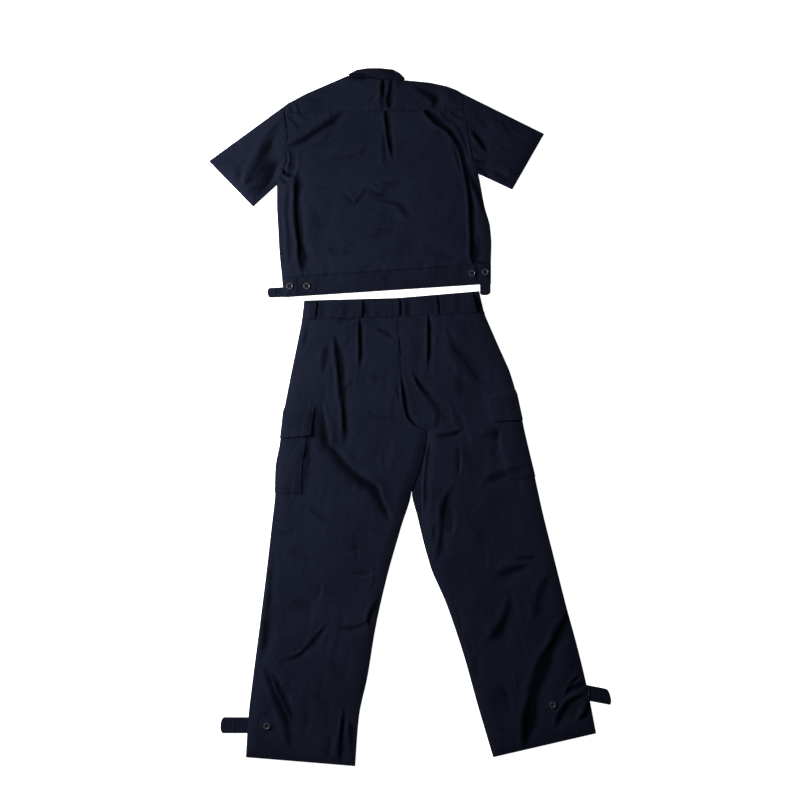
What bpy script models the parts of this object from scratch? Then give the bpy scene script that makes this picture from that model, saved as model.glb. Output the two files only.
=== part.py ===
"""Combat training uniform, laid flat with its back up: a short-sleeved waist-length
blouse above and a pair of cargo trousers below.

Everything is worked out in millimetres and turned into metres when a mesh is made.
X runs across the wearer's back from their left to their right, Y from the hems to the
collar, Z up from the table. The origin is on the table, under the middle of the whole set.
"""
import math
from collections import namedtuple

import bmesh
import bpy
from mathutils import Vector
from mathutils.bvhtree import BVHTree

MM = 0.001

# Cloth and seams
CLOTH = 1.1            # one ply of twill with its turnings
BAND = 1.6             # the doubled cloth of the hem band and the waistband
STRAP = 2.2            # the doubled and stitched adjuster straps
GAP = 0.3              # clearance between pieces at a seam
PLY = CLOTH + GAP      # what one piece adds to a stack

# How the upper layer lies on the lower one
SHIRT_PUFF = 5.2       # air under the blouse's back
TROUSER_PUFF = 5.2     # air under the trousers' back
LEAST_PUFF = 1.6       # what is left of it at the bottom of a crease
EDGE_ROLL = 30.0       # the back comes down to the front over this distance from an edge

# Buttons, belt loops and placket
BUTTON_RADIUS = 7.5
BUTTON_HEIGHT = 2.6
BUTTON_HOLE_RADIUS = 0.9
BUTTON_HOLE_OFFSET = 1.9
LOOP_THICKNESS = 1.2
LOOP_BOW = 2.0
PLACKET_WIDTH = 36.0
POCKET_WIDTH = 62.0    # from the outseam to the pocket's inner edge, on each side
FLAP_WIDTH = 70.0

Section = namedtuple("Section", "left_x left_y right_x right_y")
Half = namedtuple("Half", "outer_x outer_y inner_x inner_y")
Point = namedtuple("Point", "x y")
Share = namedtuple("Share", "along rise")
Fold = namedtuple("Fold", "x0 y0 x1 y1 width height")

# Blouse: straight sections from one side of the body to the other, from the hem up
HEM, BAND_SEAM, UNDERARM, YOKE_SEAM, SHOULDER = 0, 1, 5, 9, 10
BODY = [
    Section(-298, 281, 189, 313),      # hem
    Section(-302, 326, 189, 361),      # top of the hem band
    Section(-308, 385, 190, 405),
    Section(-311, 440, 187, 446),
    Section(-314, 500, 174, 494),
    Section(-314, 545, 159, 571),      # underarms
    Section(-302, 565, 148, 604),
    Section(-290, 612, 141, 640),
    Section(-289, 656, 136, 674),
    Section(-296, 714, 126, 721),      # yoke seam
    Section(-286, 738, 122, 760),      # shoulder points
]
# Height of the shoulder fold and back neckline over the line between the shoulder points
NECK_LEFT, NECK_RIGHT = 0.34, 0.672
SHOULDER_LINE = [
    Share(0.0, 0.0), Share(0.1, 19.5), Share(0.2, 35.0), Share(NECK_LEFT, 56.5),
    Share(0.45, 52.0), Share(0.525, 42.5), Share(0.6, 41.0), Share(NECK_RIGHT, 38.0),
    Share(0.81, 30.0), Share(0.91, 19.0), Share(0.968, 8.5), Share(1.0, 0.0),
]
# Height of the front's top edge over the yoke seam: shoulder, neckline, shoulder
FRONT_TOP = [
    Share(0.0, 0.0), Share(NECK_LEFT, 38.0), Share(0.42, 14.0), Share(0.5, 8.0),
    Share(0.58, 12.0), Share(NECK_RIGHT, 28.0), Share(1.0, 0.0),
]
# How far the turned-up collar stands out past the back neckline
COLLAR_START, COLLAR_END = NECK_LEFT + 0.005, NECK_RIGHT - 0.005
COLLAR = [
    Share(COLLAR_START, 4.0), Share(0.392, 14.5), Share(0.45, 19.5), Share(0.525, 27.5),
    Share(0.6, 24.0), Share(0.64, 16.0), Share(COLLAR_END, 5.0),
]
COLLAR_TUCK = 30.0     # the collar's leaf, folded under, reaches this far past the neckline
LEFT_CUFF = (Point(-370, 494), Point(-474, 601))     # at the underarm seam, at the top fold
RIGHT_CUFF = (Point(239, 534), Point(314, 665))

# Trousers: sections of each half from the outseam to the centre or the inseam
WAIST, FLAP_TOP, POCKET_TOP, FLAP_BOTTOM, CROTCH, POCKET_BOTTOM, LEG_HEM = 0, 3, 4, 5, 6, 8, 14
LEFT_BACK = [
    Half(-255, 228, -29, 235),         # waist seam
    Half(-267, 168, -26, 170),
    Half(-281, 100, -20, 95),
    Half(-296, 22, -10, 22),           # top of the pocket flap
    Half(-297, 12, -6, 10),            # mouth of the pocket
    Half(-304, -49, 12, -19),          # bottom of the flap
    Half(-307, -70, 41, -36),          # crotch
    Half(-316, -120, 24, -115),
    Half(-318, -178, 2, -178),         # bottom of the pocket
    Half(-327, -262, -23, -262),
    Half(-340, -375, -55, -375),
    Half(-355, -495, -82, -495),
    Half(-370, -610, -101, -610),
    Half(-381, -705, -121, -705),
    Half(-387, -799, -130, -820),      # hem
]
RIGHT_BACK = [
    Half(173, 244, -29, 235),
    Half(206, 168, -26, 170),
    Half(234, 104, -20, 95),
    Half(246, 64, -10, 22),
    Half(248, 54, -6, 10),
    Half(261, -6, 12, -19),
    Half(265, -26, 41, -36),
    Half(278, -82, 31, -105),
    Half(292, -140, 25, -168),
    Half(310, -222, 26, -235),
    Half(337, -330, 42, -335),
    Half(365, -441, 86, -444),
    Half(394, -548, 125, -560),
    Half(418, -650, 158, -678),
    Half(436, -743, 194, -799),
]
# The fronts' inner edges leave the backs' at the crotch, down to where the legs part
LEFT_INNER = {5: Point(2, -36), 6: Point(3, -55), 7: Point(5, -112), 8: Point(2, -176)}
RIGHT_INNER = {5: Point(3, -36), 6: Point(4, -55), 7: Point(6, -112), 8: Point(3.2, -176),
               9: Point(17, -238)}
WAIST_TOP = (Point(-250, 274), Point(-29, 280), Point(161, 296))
WAIST_ROW = [0, 0.5, 1, 1.5, 2, 2.5, 3, 4, 4.5, 5, 6, 7, 8]
LEG_ROW = [8.5, 9, 9.5, 10, 10.5, 11, 11.5, 12, 12.5, 13, 13.5, 14]

# The pleats and the largest folds: troughs are below zero, ridges above
SHIRT_FOLDS = [
    Fold(-56, 792, -58, 726, 12, -3.6),      # pinch in the yoke over the centre pleat
    Fold(-60, 726, -34, 604, 10, -2.2),      # centre back pleat
    Fold(-46, 722, -20, 610, 12, 2.0),
    Fold(-262, 566, -250, 345, 12, -3.4),    # left side pleat
    Fold(-240, 560, -228, 345, 13, 2.5),
    Fold(120, 640, 147, 350, 12, -3.4),      # right side pleat
    Fold(98, 630, 124, 350, 13, 2.5),
    Fold(-283, 632, -154, 717, 13, -3.1),    # drag line from the left armhole to the yoke
    Fold(-270, 612, -150, 690, 14, 2.5),
    Fold(30, 752, 118, 655, 13, -2.8),       # drag line on the right shoulder
    Fold(10, 735, 96, 640, 15, 2.2),
    Fold(-158, 529, 22, 470, 16, 2.0),       # slack across the back
    Fold(-314, 656, -384, 533, 14, -2.8),    # folds along the sleeves
    Fold(-296, 640, -360, 520, 13, 2.5),
    Fold(147, 667, 180, 615, 11, -2.5),
    Fold(168, 680, 205, 628, 14, 2.1),
]
TROUSER_FOLDS = [
    Fold(-170, 193, -152, -110, 13, -3.4),   # long fold down the left seat
    Fold(-146, 190, -126, -100, 16, 2.8),
    Fold(-152, -110, -60, -215, 16, -3.1),
    Fold(-187, -489, -302, -578, 18, -2.5),  # lower left leg
    Fold(-354, -583, -278, -771, 15, -3.1),
    Fold(-330, -575, -254, -760, 17, 2.8),
    Fold(-1, 103, 66, 5, 16, -2.5),          # drag lines to the crotch
    Fold(53, -49, 125, -33, 11, -2.5),
    Fold(88, 176, 168, 87, 18, -2.5),        # right hip
    Fold(116, -89, 72, -195, 14, -2.5),
    Fold(150, -80, 96, -240, 18, 2.5),
    Fold(199, -362, 290, -340, 16, -2.5),    # right knee
    Fold(368, -458, 293, -611, 16, -3.4),    # strong fold down the right shin
    Fold(293, -611, 269, -771, 15, -3.1),
    Fold(340, -470, 262, -640, 17, 2.8),
]

# Where the straps leave an edge, in rows of the tables above
SHIRT_TAB_ROWS = (0.02, 0.56)
LEFT_STRAP_ROWS = (13.40, 13.0)
RIGHT_STRAP_ROWS = (13.18, 12.79)

Finish = namedtuple("Finish", "colour roughness")
FINISHES = {
    "navy_twill": Finish((0.010, 0.012, 0.022), 0.85),
    "navy_trim": Finish((0.008, 0.010, 0.019), 0.85),
    "dark_button": Finish((0.012, 0.013, 0.018), 0.35),
}


def new_collection(name):
    """Add a collection to the scene."""
    collection = bpy.data.collections.new(name)
    bpy.context.scene.collection.children.link(collection)
    return collection


def new_material(name, finish):
    """Make one sub-part's own Principled material."""
    material = bpy.data.materials.new(name)
    material.use_nodes = True
    shader = material.node_tree.nodes["Principled BSDF"]
    shader.inputs["Base Color"].default_value = (*finish.colour, 1.0)
    shader.inputs["Roughness"].default_value = finish.roughness
    shader.inputs["Metallic"].default_value = 0.0
    return material


def add_object(name, mesh, finish):
    """Put a mesh in the uniform's collection, with its finish."""
    obj = bpy.data.objects.new(name, mesh)
    UNIFORM.objects.link(obj)
    mesh.materials.append(new_material(name, FINISHES[finish]))
    return obj


def clamp(value, low=0.0, high=1.0):
    """Keep a value between two limits."""
    return max(low, min(high, value))


def smooth(k):
    """Ease from 0 to 1 without a corner at either end."""
    k = clamp(k)
    return k * k * (3.0 - 2.0 * k)


def mix(a, b, k):
    """A point a share k of the way from a to b."""
    return Point(a[0] + (b[0] - a[0]) * k, a[1] + (b[1] - a[1]) * k)


def spread(first, last, count):
    """Evenly spaced values, both ends among them."""
    return [first + (last - first) * i / (count - 1) for i in range(count)]


def slope_at(before, here, after):
    """The slope through a row of a table, eased so that the curve never overshoots it."""
    a, b = here - before, after - here
    return 2 * a * b / (a + b) if a * b > 0 else 0.0


def row_at(table, s):
    """A table's row at a place between its rows, on a smooth curve through them."""
    i = min(int(s), len(table) - 2)
    k = s - i
    values = []
    for column, (a, b) in enumerate(zip(table[i], table[i + 1])):
        start = slope_at(table[i - 1][column], a, b) if i > 0 else b - a
        end = slope_at(a, b, table[i + 2][column]) if i + 2 < len(table) else b - a
        values.append(a * (1 + 2 * k) * (1 - k) ** 2 + b * (3 - 2 * k) * k * k
                      + start * k * (1 - k) ** 2 + end * k * k * (k - 1))
    return type(table[0])(*values)


def rise_at(table, along):
    """Read a table of shares with straight lines between its rows."""
    for a, b in zip(table, table[1:]):
        if along <= b.along:
            return a.rise + (b.rise - a.rise) * (along - a.along) / (b.along - a.along)
    return table[-1].rise


def from_segment(x, y, ax, ay, bx, by):
    """Distance from a point to a segment, and the share along it of the nearest place."""
    dx, dy = bx - ax, by - ay
    k = clamp(((x - ax) * dx + (y - ay) * dy) / (dx * dx + dy * dy))
    return math.hypot(x - ax - dx * k, y - ay - dy * k), k


def swell(x, y, outline, folds, puff):
    """How far the upper layer stands off the lower one at a place."""
    edge = min(from_segment(x, y, *a, *b)[0] for a, b in zip(outline, outline[1:] + outline[:1]))
    height = puff
    for fold in folds:
        off, along = from_segment(x, y, fold.x0, fold.y0, fold.x1, fold.y1)
        fade = math.sin(math.pi * clamp(0.12 + 0.76 * along))
        height += fold.height * fade * math.exp(-(off / fold.width) ** 2)
    roll = 1 - (1 - clamp(edge / EDGE_ROLL)) ** 2
    return roll * max(LEAST_PUFF, height)


def body_point(along, s):
    """A place on the blouse's body: a share across it, at row s of its table."""
    row = row_at(BODY, s)
    return mix((row.left_x, row.left_y), (row.right_x, row.right_y), along)


def shoulder_point(along):
    """A place on the shoulder fold or the back neckline."""
    x, y = body_point(along, SHOULDER)
    return Point(x, y + rise_at(SHOULDER_LINE, along))


def shirt_outline():
    """The blouse's outline, from the left hem up, over the collar and down to the right."""
    left = [body_point(0, s) for s in range(HEM, UNDERARM + 1)]
    right = [body_point(1, s) for s in range(UNDERARM, HEM - 1, -1)]
    over = [shoulder_point(row.along) for row in SHOULDER_LINE if row.along < NECK_LEFT]
    collar = [Point(p.x, p.y + row.rise) for row in COLLAR for p in [shoulder_point(row.along)]]
    down = [shoulder_point(row.along) for row in SHOULDER_LINE if row.along > NECK_RIGHT]
    return left + list(LEFT_CUFF) + over + collar + down + list(reversed(RIGHT_CUFF)) + right


def trouser_outline():
    """The outline of the trousers' backs: up the left, across the waist, down the right."""
    outer_left = [Point(r.outer_x, r.outer_y) for r in reversed(LEFT_BACK)]
    outer_right = [Point(r.outer_x, r.outer_y) for r in RIGHT_BACK]
    inner_right = [Point(r.inner_x, r.inner_y) for r in reversed(RIGHT_BACK[CROTCH:])]
    inner_left = [Point(r.inner_x, r.inner_y) for r in LEFT_BACK[CROTCH + 1:]]
    return outer_left + list(WAIST_TOP) + outer_right + inner_right + inner_left


def shirt_swell(x, y):
    """Height of the blouse's upper layer over its lower one."""
    return swell(x, y, SHIRT_OUTLINE, SHIRT_FOLDS, SHIRT_PUFF)


def trouser_swell(x, y):
    """Height of the trousers' upper layer over its lower one."""
    return swell(x, y, TROUSER_OUTLINE, TROUSER_FOLDS, TROUSER_PUFF)


def cloth(name, outer, inner, finish="navy_twill", leave_out=lambda column, row: False):
    """A piece of cloth: a grid whose points take the outer face's places, extruded once to
    the inner face's. Both are lists of rows of (x, y, z) in millimetres."""
    rows, columns = len(outer), len(outer[0])
    bm = bmesh.new()
    bmesh.ops.create_grid(bm, x_segments=columns - 1, y_segments=rows - 1, size=1.0)

    def cell(co):
        return ((co.x + 1) / 2 * (columns - 1), (co.y + 1) / 2 * (rows - 1))

    unused = [f for f in bm.faces if leave_out(*(int(c) for c in cell(f.calc_center_median())))]
    bmesh.ops.delete(bm, geom=unused, context="FACES")
    bmesh.ops.triangulate(bm, faces=bm.faces[:], quad_method="FIXED")
    made = bmesh.ops.extrude_face_region(bm, geom=bm.faces[:])["geom"]
    inner_verts = {v for v in made if isinstance(v, bmesh.types.BMVert)}
    for vert in bm.verts:
        column, row = (round(c) for c in cell(vert.co))
        face = inner if vert in inner_verts else outer
        vert.co = Vector(face[row][column]) * MM
    bmesh.ops.recalc_face_normals(bm, faces=bm.faces[:])
    if bm.calc_volume(signed=True) < 0:
        bmesh.ops.reverse_faces(bm, faces=bm.faces[:])
    mesh = bpy.data.meshes.new(name)
    bm.to_mesh(mesh)
    bm.free()
    return add_object(name, mesh, finish)


def lying(name, plan, bottom, thickness=CLOTH, finish="navy_twill"):
    """A panel that lies flat: plan is rows of points, bottom(point) its underside."""
    low = [[(p.x, p.y, bottom(p)) for p in row] for row in plan]
    high = [[(x, y, z + thickness) for x, y, z in row] for row in low]
    return cloth(name, high, low, finish)


def folded(name, over, under, height, thickness=CLOTH, leave_out=lambda column, row: False):
    """A piece folded in two along its edge: over is its rows of points on the upper layer,
    ending on the fold, and under those on the table, starting there."""
    outer, inner = [], []
    for row in over[:-1]:
        inner.append([(p.x, p.y, height(p)) for p in row])
        outer.append([(p.x, p.y, height(p) + thickness) for p in row])
    crease = over[-1]
    for angle in (90, 45, 0, -45, -90):
        turn = math.radians(angle)
        outer_row, inner_row = [], []
        for tip, near in zip(crease, over[-2]):
            top = height(tip)
            inward = Vector((near.x - tip.x, near.y - tip.y)).normalized()
            middle, radius, hollow = (top + thickness) / 2, (top + thickness) / 2, (top - thickness) / 2
            for line, r in ((outer_row, radius), (inner_row, hollow)):
                back = radius - r * math.cos(turn)
                line.append((tip.x + inward.x * back, tip.y + inward.y * back,
                             middle + r * math.sin(turn)))
        outer.append(outer_row)
        inner.append(inner_row)
    for row in under[1:]:
        outer.append([(p.x, p.y, 0.0) for p in row])
        inner.append([(p.x, p.y, thickness) for p in row])
    return cloth(name, outer, inner, leave_out=leave_out)


def strap(name, root, reach):
    """A flat adjuster strap from its root, two points on an edge, out along reach."""
    low = []
    for out, width in ((0.0, 1.0), (0.5, 1.0), (0.86, 0.97), (1.0, 0.62)):
        ends = [Point(p.x + reach.x * out, p.y + reach.y * out) for p in root]
        low.append([mix(*ends, 0.5 + width * (k - 0.5)) for k in spread(0, 1, 4)])
    return lying(name, low, lambda p: 0.0, STRAP, "navy_trim")


def surface(obj):
    """A lookup of an object's top surface, in millimetres."""
    tree = BVHTree.FromPolygons([v.co for v in obj.data.vertices],
                                [p.vertices for p in obj.data.polygons])

    def height(x, y):
        hit = tree.ray_cast(Vector((x * MM, y * MM, 1.0)), Vector((0, 0, -1)))[0]
        return hit.z / MM

    return height


def button(name, x, y, below):
    """A four-hole button with a raised rim, turned from its profile, lying on a surface."""
    rim = [Point(x + BUTTON_RADIUS * math.cos(a), y + BUTTON_RADIUS * math.sin(a))
           for a in spread(0, 2 * math.pi, 9)]
    z = max(below(p.x, p.y) for p in rim + [Point(x, y)]) + GAP
    profile = [(0.0, 1.7), (4.3, 1.7), (5.2, BUTTON_HEIGHT), (6.6, BUTTON_HEIGHT),
               (BUTTON_RADIUS, 1.7), (BUTTON_RADIUS, 0.8), (6.3, 0.0), (0.0, 0.0)]
    mesh = bpy.data.meshes.new(name)
    mesh.from_pydata([(r * MM, 0.0, h * MM) for r, h in profile],
                     [(i, i + 1) for i in range(len(profile) - 1)], [])
    disc = add_object(name, mesh, "dark_button")
    disc.location = Vector((x, y, z)) * MM
    turn = disc.modifiers.new("Turn", "SCREW")
    turn.steps = turn.render_steps = 16
    turn.use_merge_vertices = True
    turn.merge_threshold = 0.00001
    for i in range(4):
        angle = math.radians(45 + 90 * i)
        spot = Vector((x + BUTTON_HOLE_OFFSET * math.cos(angle),
                       y + BUTTON_HOLE_OFFSET * math.sin(angle), z)) * MM
        cutter = bpy.data.objects.new(f"{name}_hole_{i + 1}", HOLE)
        cutter.location = spot
        cutter.hide_render = True
        cutter.display_type = "WIRE"
        CUTTERS.objects.link(cutter)
        cut = disc.modifiers.new(f"Hole {i + 1}", "BOOLEAN")
        cut.operation = "DIFFERENCE"
        cut.object = cutter
    return disc


def hole_mesh():
    """The cutter of a button's thread hole."""
    bm = bmesh.new()
    bmesh.ops.create_cone(bm, cap_ends=True, segments=6, radius1=BUTTON_HOLE_RADIUS * MM,
                          radius2=BUTTON_HOLE_RADIUS * MM, depth=4 * BUTTON_HEIGHT * MM)
    mesh = bpy.data.meshes.new("button_hole")
    bm.to_mesh(mesh)
    bm.free()
    return mesh


# ---------------------------------------------------------------- blouse

def shirt_body_height(p):
    """Underside of the blouse's back, yoke, sleeves and collar."""
    return PLY + shirt_swell(p.x, p.y)


def make_shirt_fronts():
    """The two fronts on the table, edge to edge under the placket."""
    across = body_point(1, BAND_SEAM).x - body_point(0, BAND_SEAM).x
    half_placket = PLACKET_WIDTH / 2 / across
    rows = spread(BAND_SEAM, YOKE_SEAM, 17)
    sides = {
        "shirt_front_left": [0, 0.17, NECK_LEFT, 0.42, 0.5 - half_placket, 0.5],
        "shirt_front_right": [0.5, 0.5 + half_placket, 0.58, NECK_RIGHT, 0.84, 1],
    }
    for name, shares in sides.items():
        shift = GAP if shares[0] == 0.5 else 0.0
        low = []
        for s in rows:
            up = max(0.0, s - UNDERARM) / (YOKE_SEAM - UNDERARM)
            line = []
            for along in shares:
                x, y = body_point(along, s)
                raised = abs(along - 0.5) <= half_placket + 1e-6
                line.append((x + (shift if along == 0.5 else 0.0),
                             y + up * rise_at(FRONT_TOP, along), PLY if raised else 0.0))
            low.append(line)
        low[0] = [(x, y + GAP, z) for x, y, z in low[0]]
        high = [[(x, y, z + CLOTH) for x, y, z in row] for row in low]
        cloth(name, high, low)


def make_shirt_placket():
    """The strip that covers the fronts' closed edges, lowest of all on the table."""
    rows = spread(BAND_SEAM, YOKE_SEAM, 17)
    plan = []
    for s in rows:
        up = max(0.0, s - UNDERARM) / (YOKE_SEAM - UNDERARM)
        x, y = body_point(0.5, s)
        y += up * rise_at(FRONT_TOP, 0.5)
        side = PLACKET_WIDTH / 2 - 2.0
        plan.append([Point(x - side, y), Point(x + side, y)])
    plan[0] = [Point(p.x, p.y + 4.0) for p in plan[0]]
    lying("shirt_placket", plan, lambda p: 0.0)


def make_shirt_back():
    """The back, from the hem band to the yoke, with its pleats."""
    shares = spread(0, 1, 21)
    rows = spread(BAND_SEAM, YOKE_SEAM, 17)
    plan = [[body_point(along, s) for along in shares] for s in rows]
    plan[0] = [Point(p.x, p.y + GAP) for p in plan[0]]
    plan[-1] = [Point(p.x, p.y - GAP) for p in plan[-1]]
    lying("shirt_back", plan, shirt_body_height)


def make_shirt_yoke():
    """The yoke, folded over the shoulders down to the fronts and open at the neck."""
    shares = [0, 0.1, 0.2, NECK_LEFT, 0.4, 0.45, 0.49, 0.525, 0.56, 0.6, NECK_RIGHT, 0.74,
              0.81, 0.91, 0.968, 1]
    fold_row = 2

    def over(along, k):
        x, y = body_point(along, YOKE_SEAM + k)
        return Point(x, y + k * rise_at(SHOULDER_LINE, along))

    def under(along, k):
        x, y = body_point(along, YOKE_SEAM + k)
        rise = k * rise_at(SHOULDER_LINE, along) + (1 - k) * rise_at(FRONT_TOP, along)
        return Point(x, y + rise + (GAP if k == 0 else 0.0))

    def in_neck(column, row):
        return row >= fold_row and NECK_LEFT <= shares[column] < NECK_RIGHT

    top = [[over(along, k) for along in shares] for k in (0, 0.5, 1)]
    floor = [[under(along, k) for along in shares] for k in (1, 0.5, 0)]
    folded("shirt_yoke", top, floor, shirt_body_height, leave_out=in_neck)


def make_shirt_collar():
    """The turned-up collar: past the neckline, over its fold and back under itself."""
    shares = [COLLAR_START, 0.392, 0.42, 0.45, 0.49, 0.525, 0.56, 0.6, 0.64, COLLAR_END]

    def reach(along, k):
        x, y = shoulder_point(along)
        return Point(x, y + GAP + k * rise_at(COLLAR, along))

    def leaf(along, k):
        x, y = shoulder_point(along)
        return Point(x, y + (1 - k) * rise_at(COLLAR, along) - k * COLLAR_TUCK)

    top = [[reach(along, k) for along in shares] for k in (0, 0.5, 1)]
    floor = [[leaf(along, k) for along in shares] for k in (0, 0.5, 1)]
    folded("shirt_collar", top, floor, shirt_body_height)


def make_sleeve(name, side, cuff, away):
    """A sleeve, folded along its top, from the underarm seam round to itself."""
    rows = spread(UNDERARM, SHOULDER, 11)
    lowest, highest = body_point(side, UNDERARM).y, body_point(side, SHOULDER).y

    def place(s, k):
        x, y = body_point(side, s)
        share = (y - lowest) / (highest - lowest)
        return mix((x + away * GAP, y), mix(*cuff, share), k)

    steps = spread(0, 1, 8)
    plan = [[place(s, k) for k in steps] for s in rows]
    folded(name, plan, plan[::-1], shirt_body_height)


def make_shirt_band():
    """The hem band: its back over its two fronts, which meet under the placket's line."""
    rows = [HEM, 0.5, BAND_SEAM - 0.01]

    def band(name, shares, bottom, shift=0.0):
        plan = [[body_point(along, s) for along in shares] for s in rows]
        plan = [[Point(p.x + (shift if i == 0 else 0.0), p.y) for i, p in enumerate(row)]
                for row in plan]
        return lying(name, plan, bottom, BAND, "navy_trim")

    band("shirt_band_front_left", spread(0, 0.5, 5), lambda p: 0.0)
    band("shirt_band_front_right", spread(0.5, 1, 5), lambda p: 0.0, GAP)
    back = band("shirt_band_back", spread(0, 1, 21),
                lambda p: BAND + GAP + shirt_swell(p.x, p.y))
    return back


def make_shirt():
    """The whole blouse."""
    make_shirt_fronts()
    make_shirt_placket()
    make_shirt_back()
    make_shirt_yoke()
    make_shirt_collar()
    make_sleeve("sleeve_left", 0, LEFT_CUFF, -1)
    make_sleeve("sleeve_right", 1, RIGHT_CUFF, 1)
    band = surface(make_shirt_band())
    for i, spot in enumerate((Point(-283, 307), Point(-243, 307), Point(144, 337),
                              Point(175, 340))):
        button(f"shirt_button_{i + 1}", spot.x, spot.y, band)
    left = [body_point(0, s) for s in SHIRT_TAB_ROWS]
    strap("shirt_tab_left", [Point(p.x - GAP, p.y) for p in left], Point(-37, -2))
    right = [body_point(along, HEM) for along in (0.947, 0.998)]
    strap("shirt_tab_right", [Point(p.x, p.y - 2 * GAP) for p in right], Point(0, -26))


# -------------------------------------------------------------- trousers

def half_columns(row, wide):
    """Points across a half at one row: closely spaced under the pocket, then even."""
    outer, inner = Point(row.outer_x, row.outer_y), Point(row.inner_x, row.inner_y)
    across = math.dist(outer, inner)
    marks = [0.0, POCKET_WIDTH / 2 / across, POCKET_WIDTH / across, FLAP_WIDTH / across]
    shares = marks + spread(marks[-1], 1.0, wide + 1)[1:]
    return [mix(outer, inner, k) for k in shares]


def lifted(column, s):
    """How far the pocket and its flap raise the front over the table."""
    on_flap = FLAP_TOP <= s <= FLAP_BOTTOM and column <= 3
    on_pocket = POCKET_TOP <= s <= POCKET_BOTTOM and column <= 2
    return PLY * (on_flap + on_pocket)


def make_half(side, table, inner_edge, away):
    """One half of the trousers: its front on the table, its back over it, and the pocket
    and flap that wrap the outseam. away is the direction of the outseam along X."""
    rows = WAIST_ROW + LEG_ROW
    seam_shift = GAP / 2 * away
    front_table = [row._replace(inner_x=inner_edge[i].x, inner_y=inner_edge[i].y)
                   if i in inner_edge else row for i, row in enumerate(table)]

    def plan(source, wide):
        grid = [half_columns(row_at(source, s), wide) for s in rows]
        for line in grid:
            line[-1] = Point(line[-1].x + seam_shift, line[-1].y)
        return grid

    back_plan, front_plan = plan(table, 8), plan(front_table, 4)
    low = [[(p.x, p.y, lifted(i, s)) for i, p in enumerate(line)]
           for s, line in zip(rows, front_plan)]
    high = [[(x, y, z + CLOTH) for x, y, z in line] for line in low]
    cloth(f"trouser_front_{side}", high, low)

    under = [[lifted(i, s) + PLY + trouser_swell(p.x, p.y) for i, p in enumerate(line)]
             for s, line in zip(rows, back_plan)]
    low = [[(p.x, p.y, z) for p, z in zip(line, heights)]
           for line, heights in zip(back_plan, under)]
    high = [[(x, y, z + CLOTH) for x, y, z in line] for line in low]
    back = cloth(f"trouser_back_{side}", high, low)

    def wrapped(name, span, columns, beneath, on_table):
        """A piece round the outseam, over the back and under the front. beneath(s) is the
        number of pieces it lies over, on_table(s) its height over the table."""
        outer, inner = [], []
        for j, s in enumerate(rows):
            if not span[0] <= s <= span[1]:
                continue
            reach = beneath(s) * PLY + GAP
            floor = on_table(s)
            line = back_plan[j][:columns + 1]
            top = [under[j][i] + CLOTH + reach for i in range(columns + 1)]
            edge = line[0]
            middle = (floor + top[0] + CLOTH) / 2
            out, into = [], []
            for p in reversed(line):
                out.append((p.x, p.y, floor))
                into.append((p.x, p.y, floor + CLOTH))
            turns = ((0.7, floor + 0.3 * CLOTH, floor + CLOTH + 0.1), (1.0, middle, middle),
                     (0.7, top[0] + 0.7 * CLOTH, top[0] - 0.1))
            for share, z_out, z_in in turns:
                out.append((edge.x + away * (reach + share * CLOTH), edge.y, z_out))
                into.append((edge.x + away * reach, edge.y, z_in))
            for p, z in zip(line, top):
                out.append((p.x, p.y, z + CLOTH))
                into.append((p.x, p.y, z))
            outer.append(out)
            inner.append(into)
        return cloth(name, outer, inner, "navy_trim")

    wrapped(f"cargo_pocket_{side}", (POCKET_TOP, POCKET_BOTTOM), 2, lambda s: 0,
            lambda s: PLY if s <= FLAP_BOTTOM else 0.0)
    wrapped(f"pocket_flap_{side}", (FLAP_TOP, FLAP_BOTTOM), 3,
            lambda s: 1 if s >= POCKET_TOP else 0, lambda s: 0.0)
    return surface(back)


def make_waistband():
    """The waistband: its back over its two fronts, and the belt loops."""
    middle = Point(LEFT_BACK[WAIST].inner_x, LEFT_BACK[WAIST].inner_y)
    foot = (Point(LEFT_BACK[WAIST].outer_x, LEFT_BACK[WAIST].outer_y), middle,
            Point(RIGHT_BACK[WAIST].outer_x, RIGHT_BACK[WAIST].outer_y))

    def place(along, k):
        """along runs from 0 at the left side over 1 at the centre to 2 at the right."""
        i = min(int(along), 1)
        low = mix(foot[i], foot[i + 1], along - i)
        high = mix(WAIST_TOP[i], WAIST_TOP[i + 1], along - i)
        return mix((low.x, low.y + GAP), high, k)

    heights = [0, 0.5, 1]

    def band(name, first, last, count, bottom):
        plan = [[place(along, k) for along in spread(first, last, count)] for k in heights]
        return lying(name, plan, bottom, BAND, "navy_trim")

    seam = 0.0008
    band("waistband_front_left", 0, 1 - seam, 5, lambda p: 0.0)
    band("waistband_front_right", 1 + seam, 2, 5, lambda p: 0.0)
    back = surface(band("waistband_back", 0, 2, 19,
                        lambda p: BAND + GAP + trouser_swell(p.x, p.y)))

    loops = ((0.10, 17.0), (0.60, 11.0), (0.99, 11.0), (1.45, 11.0), (1.88, 17.0))
    for number, (along, width) in enumerate(loops, 1):
        share = width / 2 / math.dist(place(0, 0), place(1, 0))
        low = []
        for k in (0.03, 0.18, 0.5, 0.82, 0.97):
            bow = LOOP_BOW * smooth(min(k, 1 - k) / 0.3)
            line = [place(a, k) for a in (along - share, along, along + share)]
            level = max(back(p.x, p.y) for p in line)
            low.append([(p.x, p.y, level + GAP + bow) for p in line])
        high = [[(x, y, z + LOOP_THICKNESS) for x, y, z in line] for line in low]
        cloth(f"belt_loop_{number}", high, low, "navy_trim")


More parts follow.
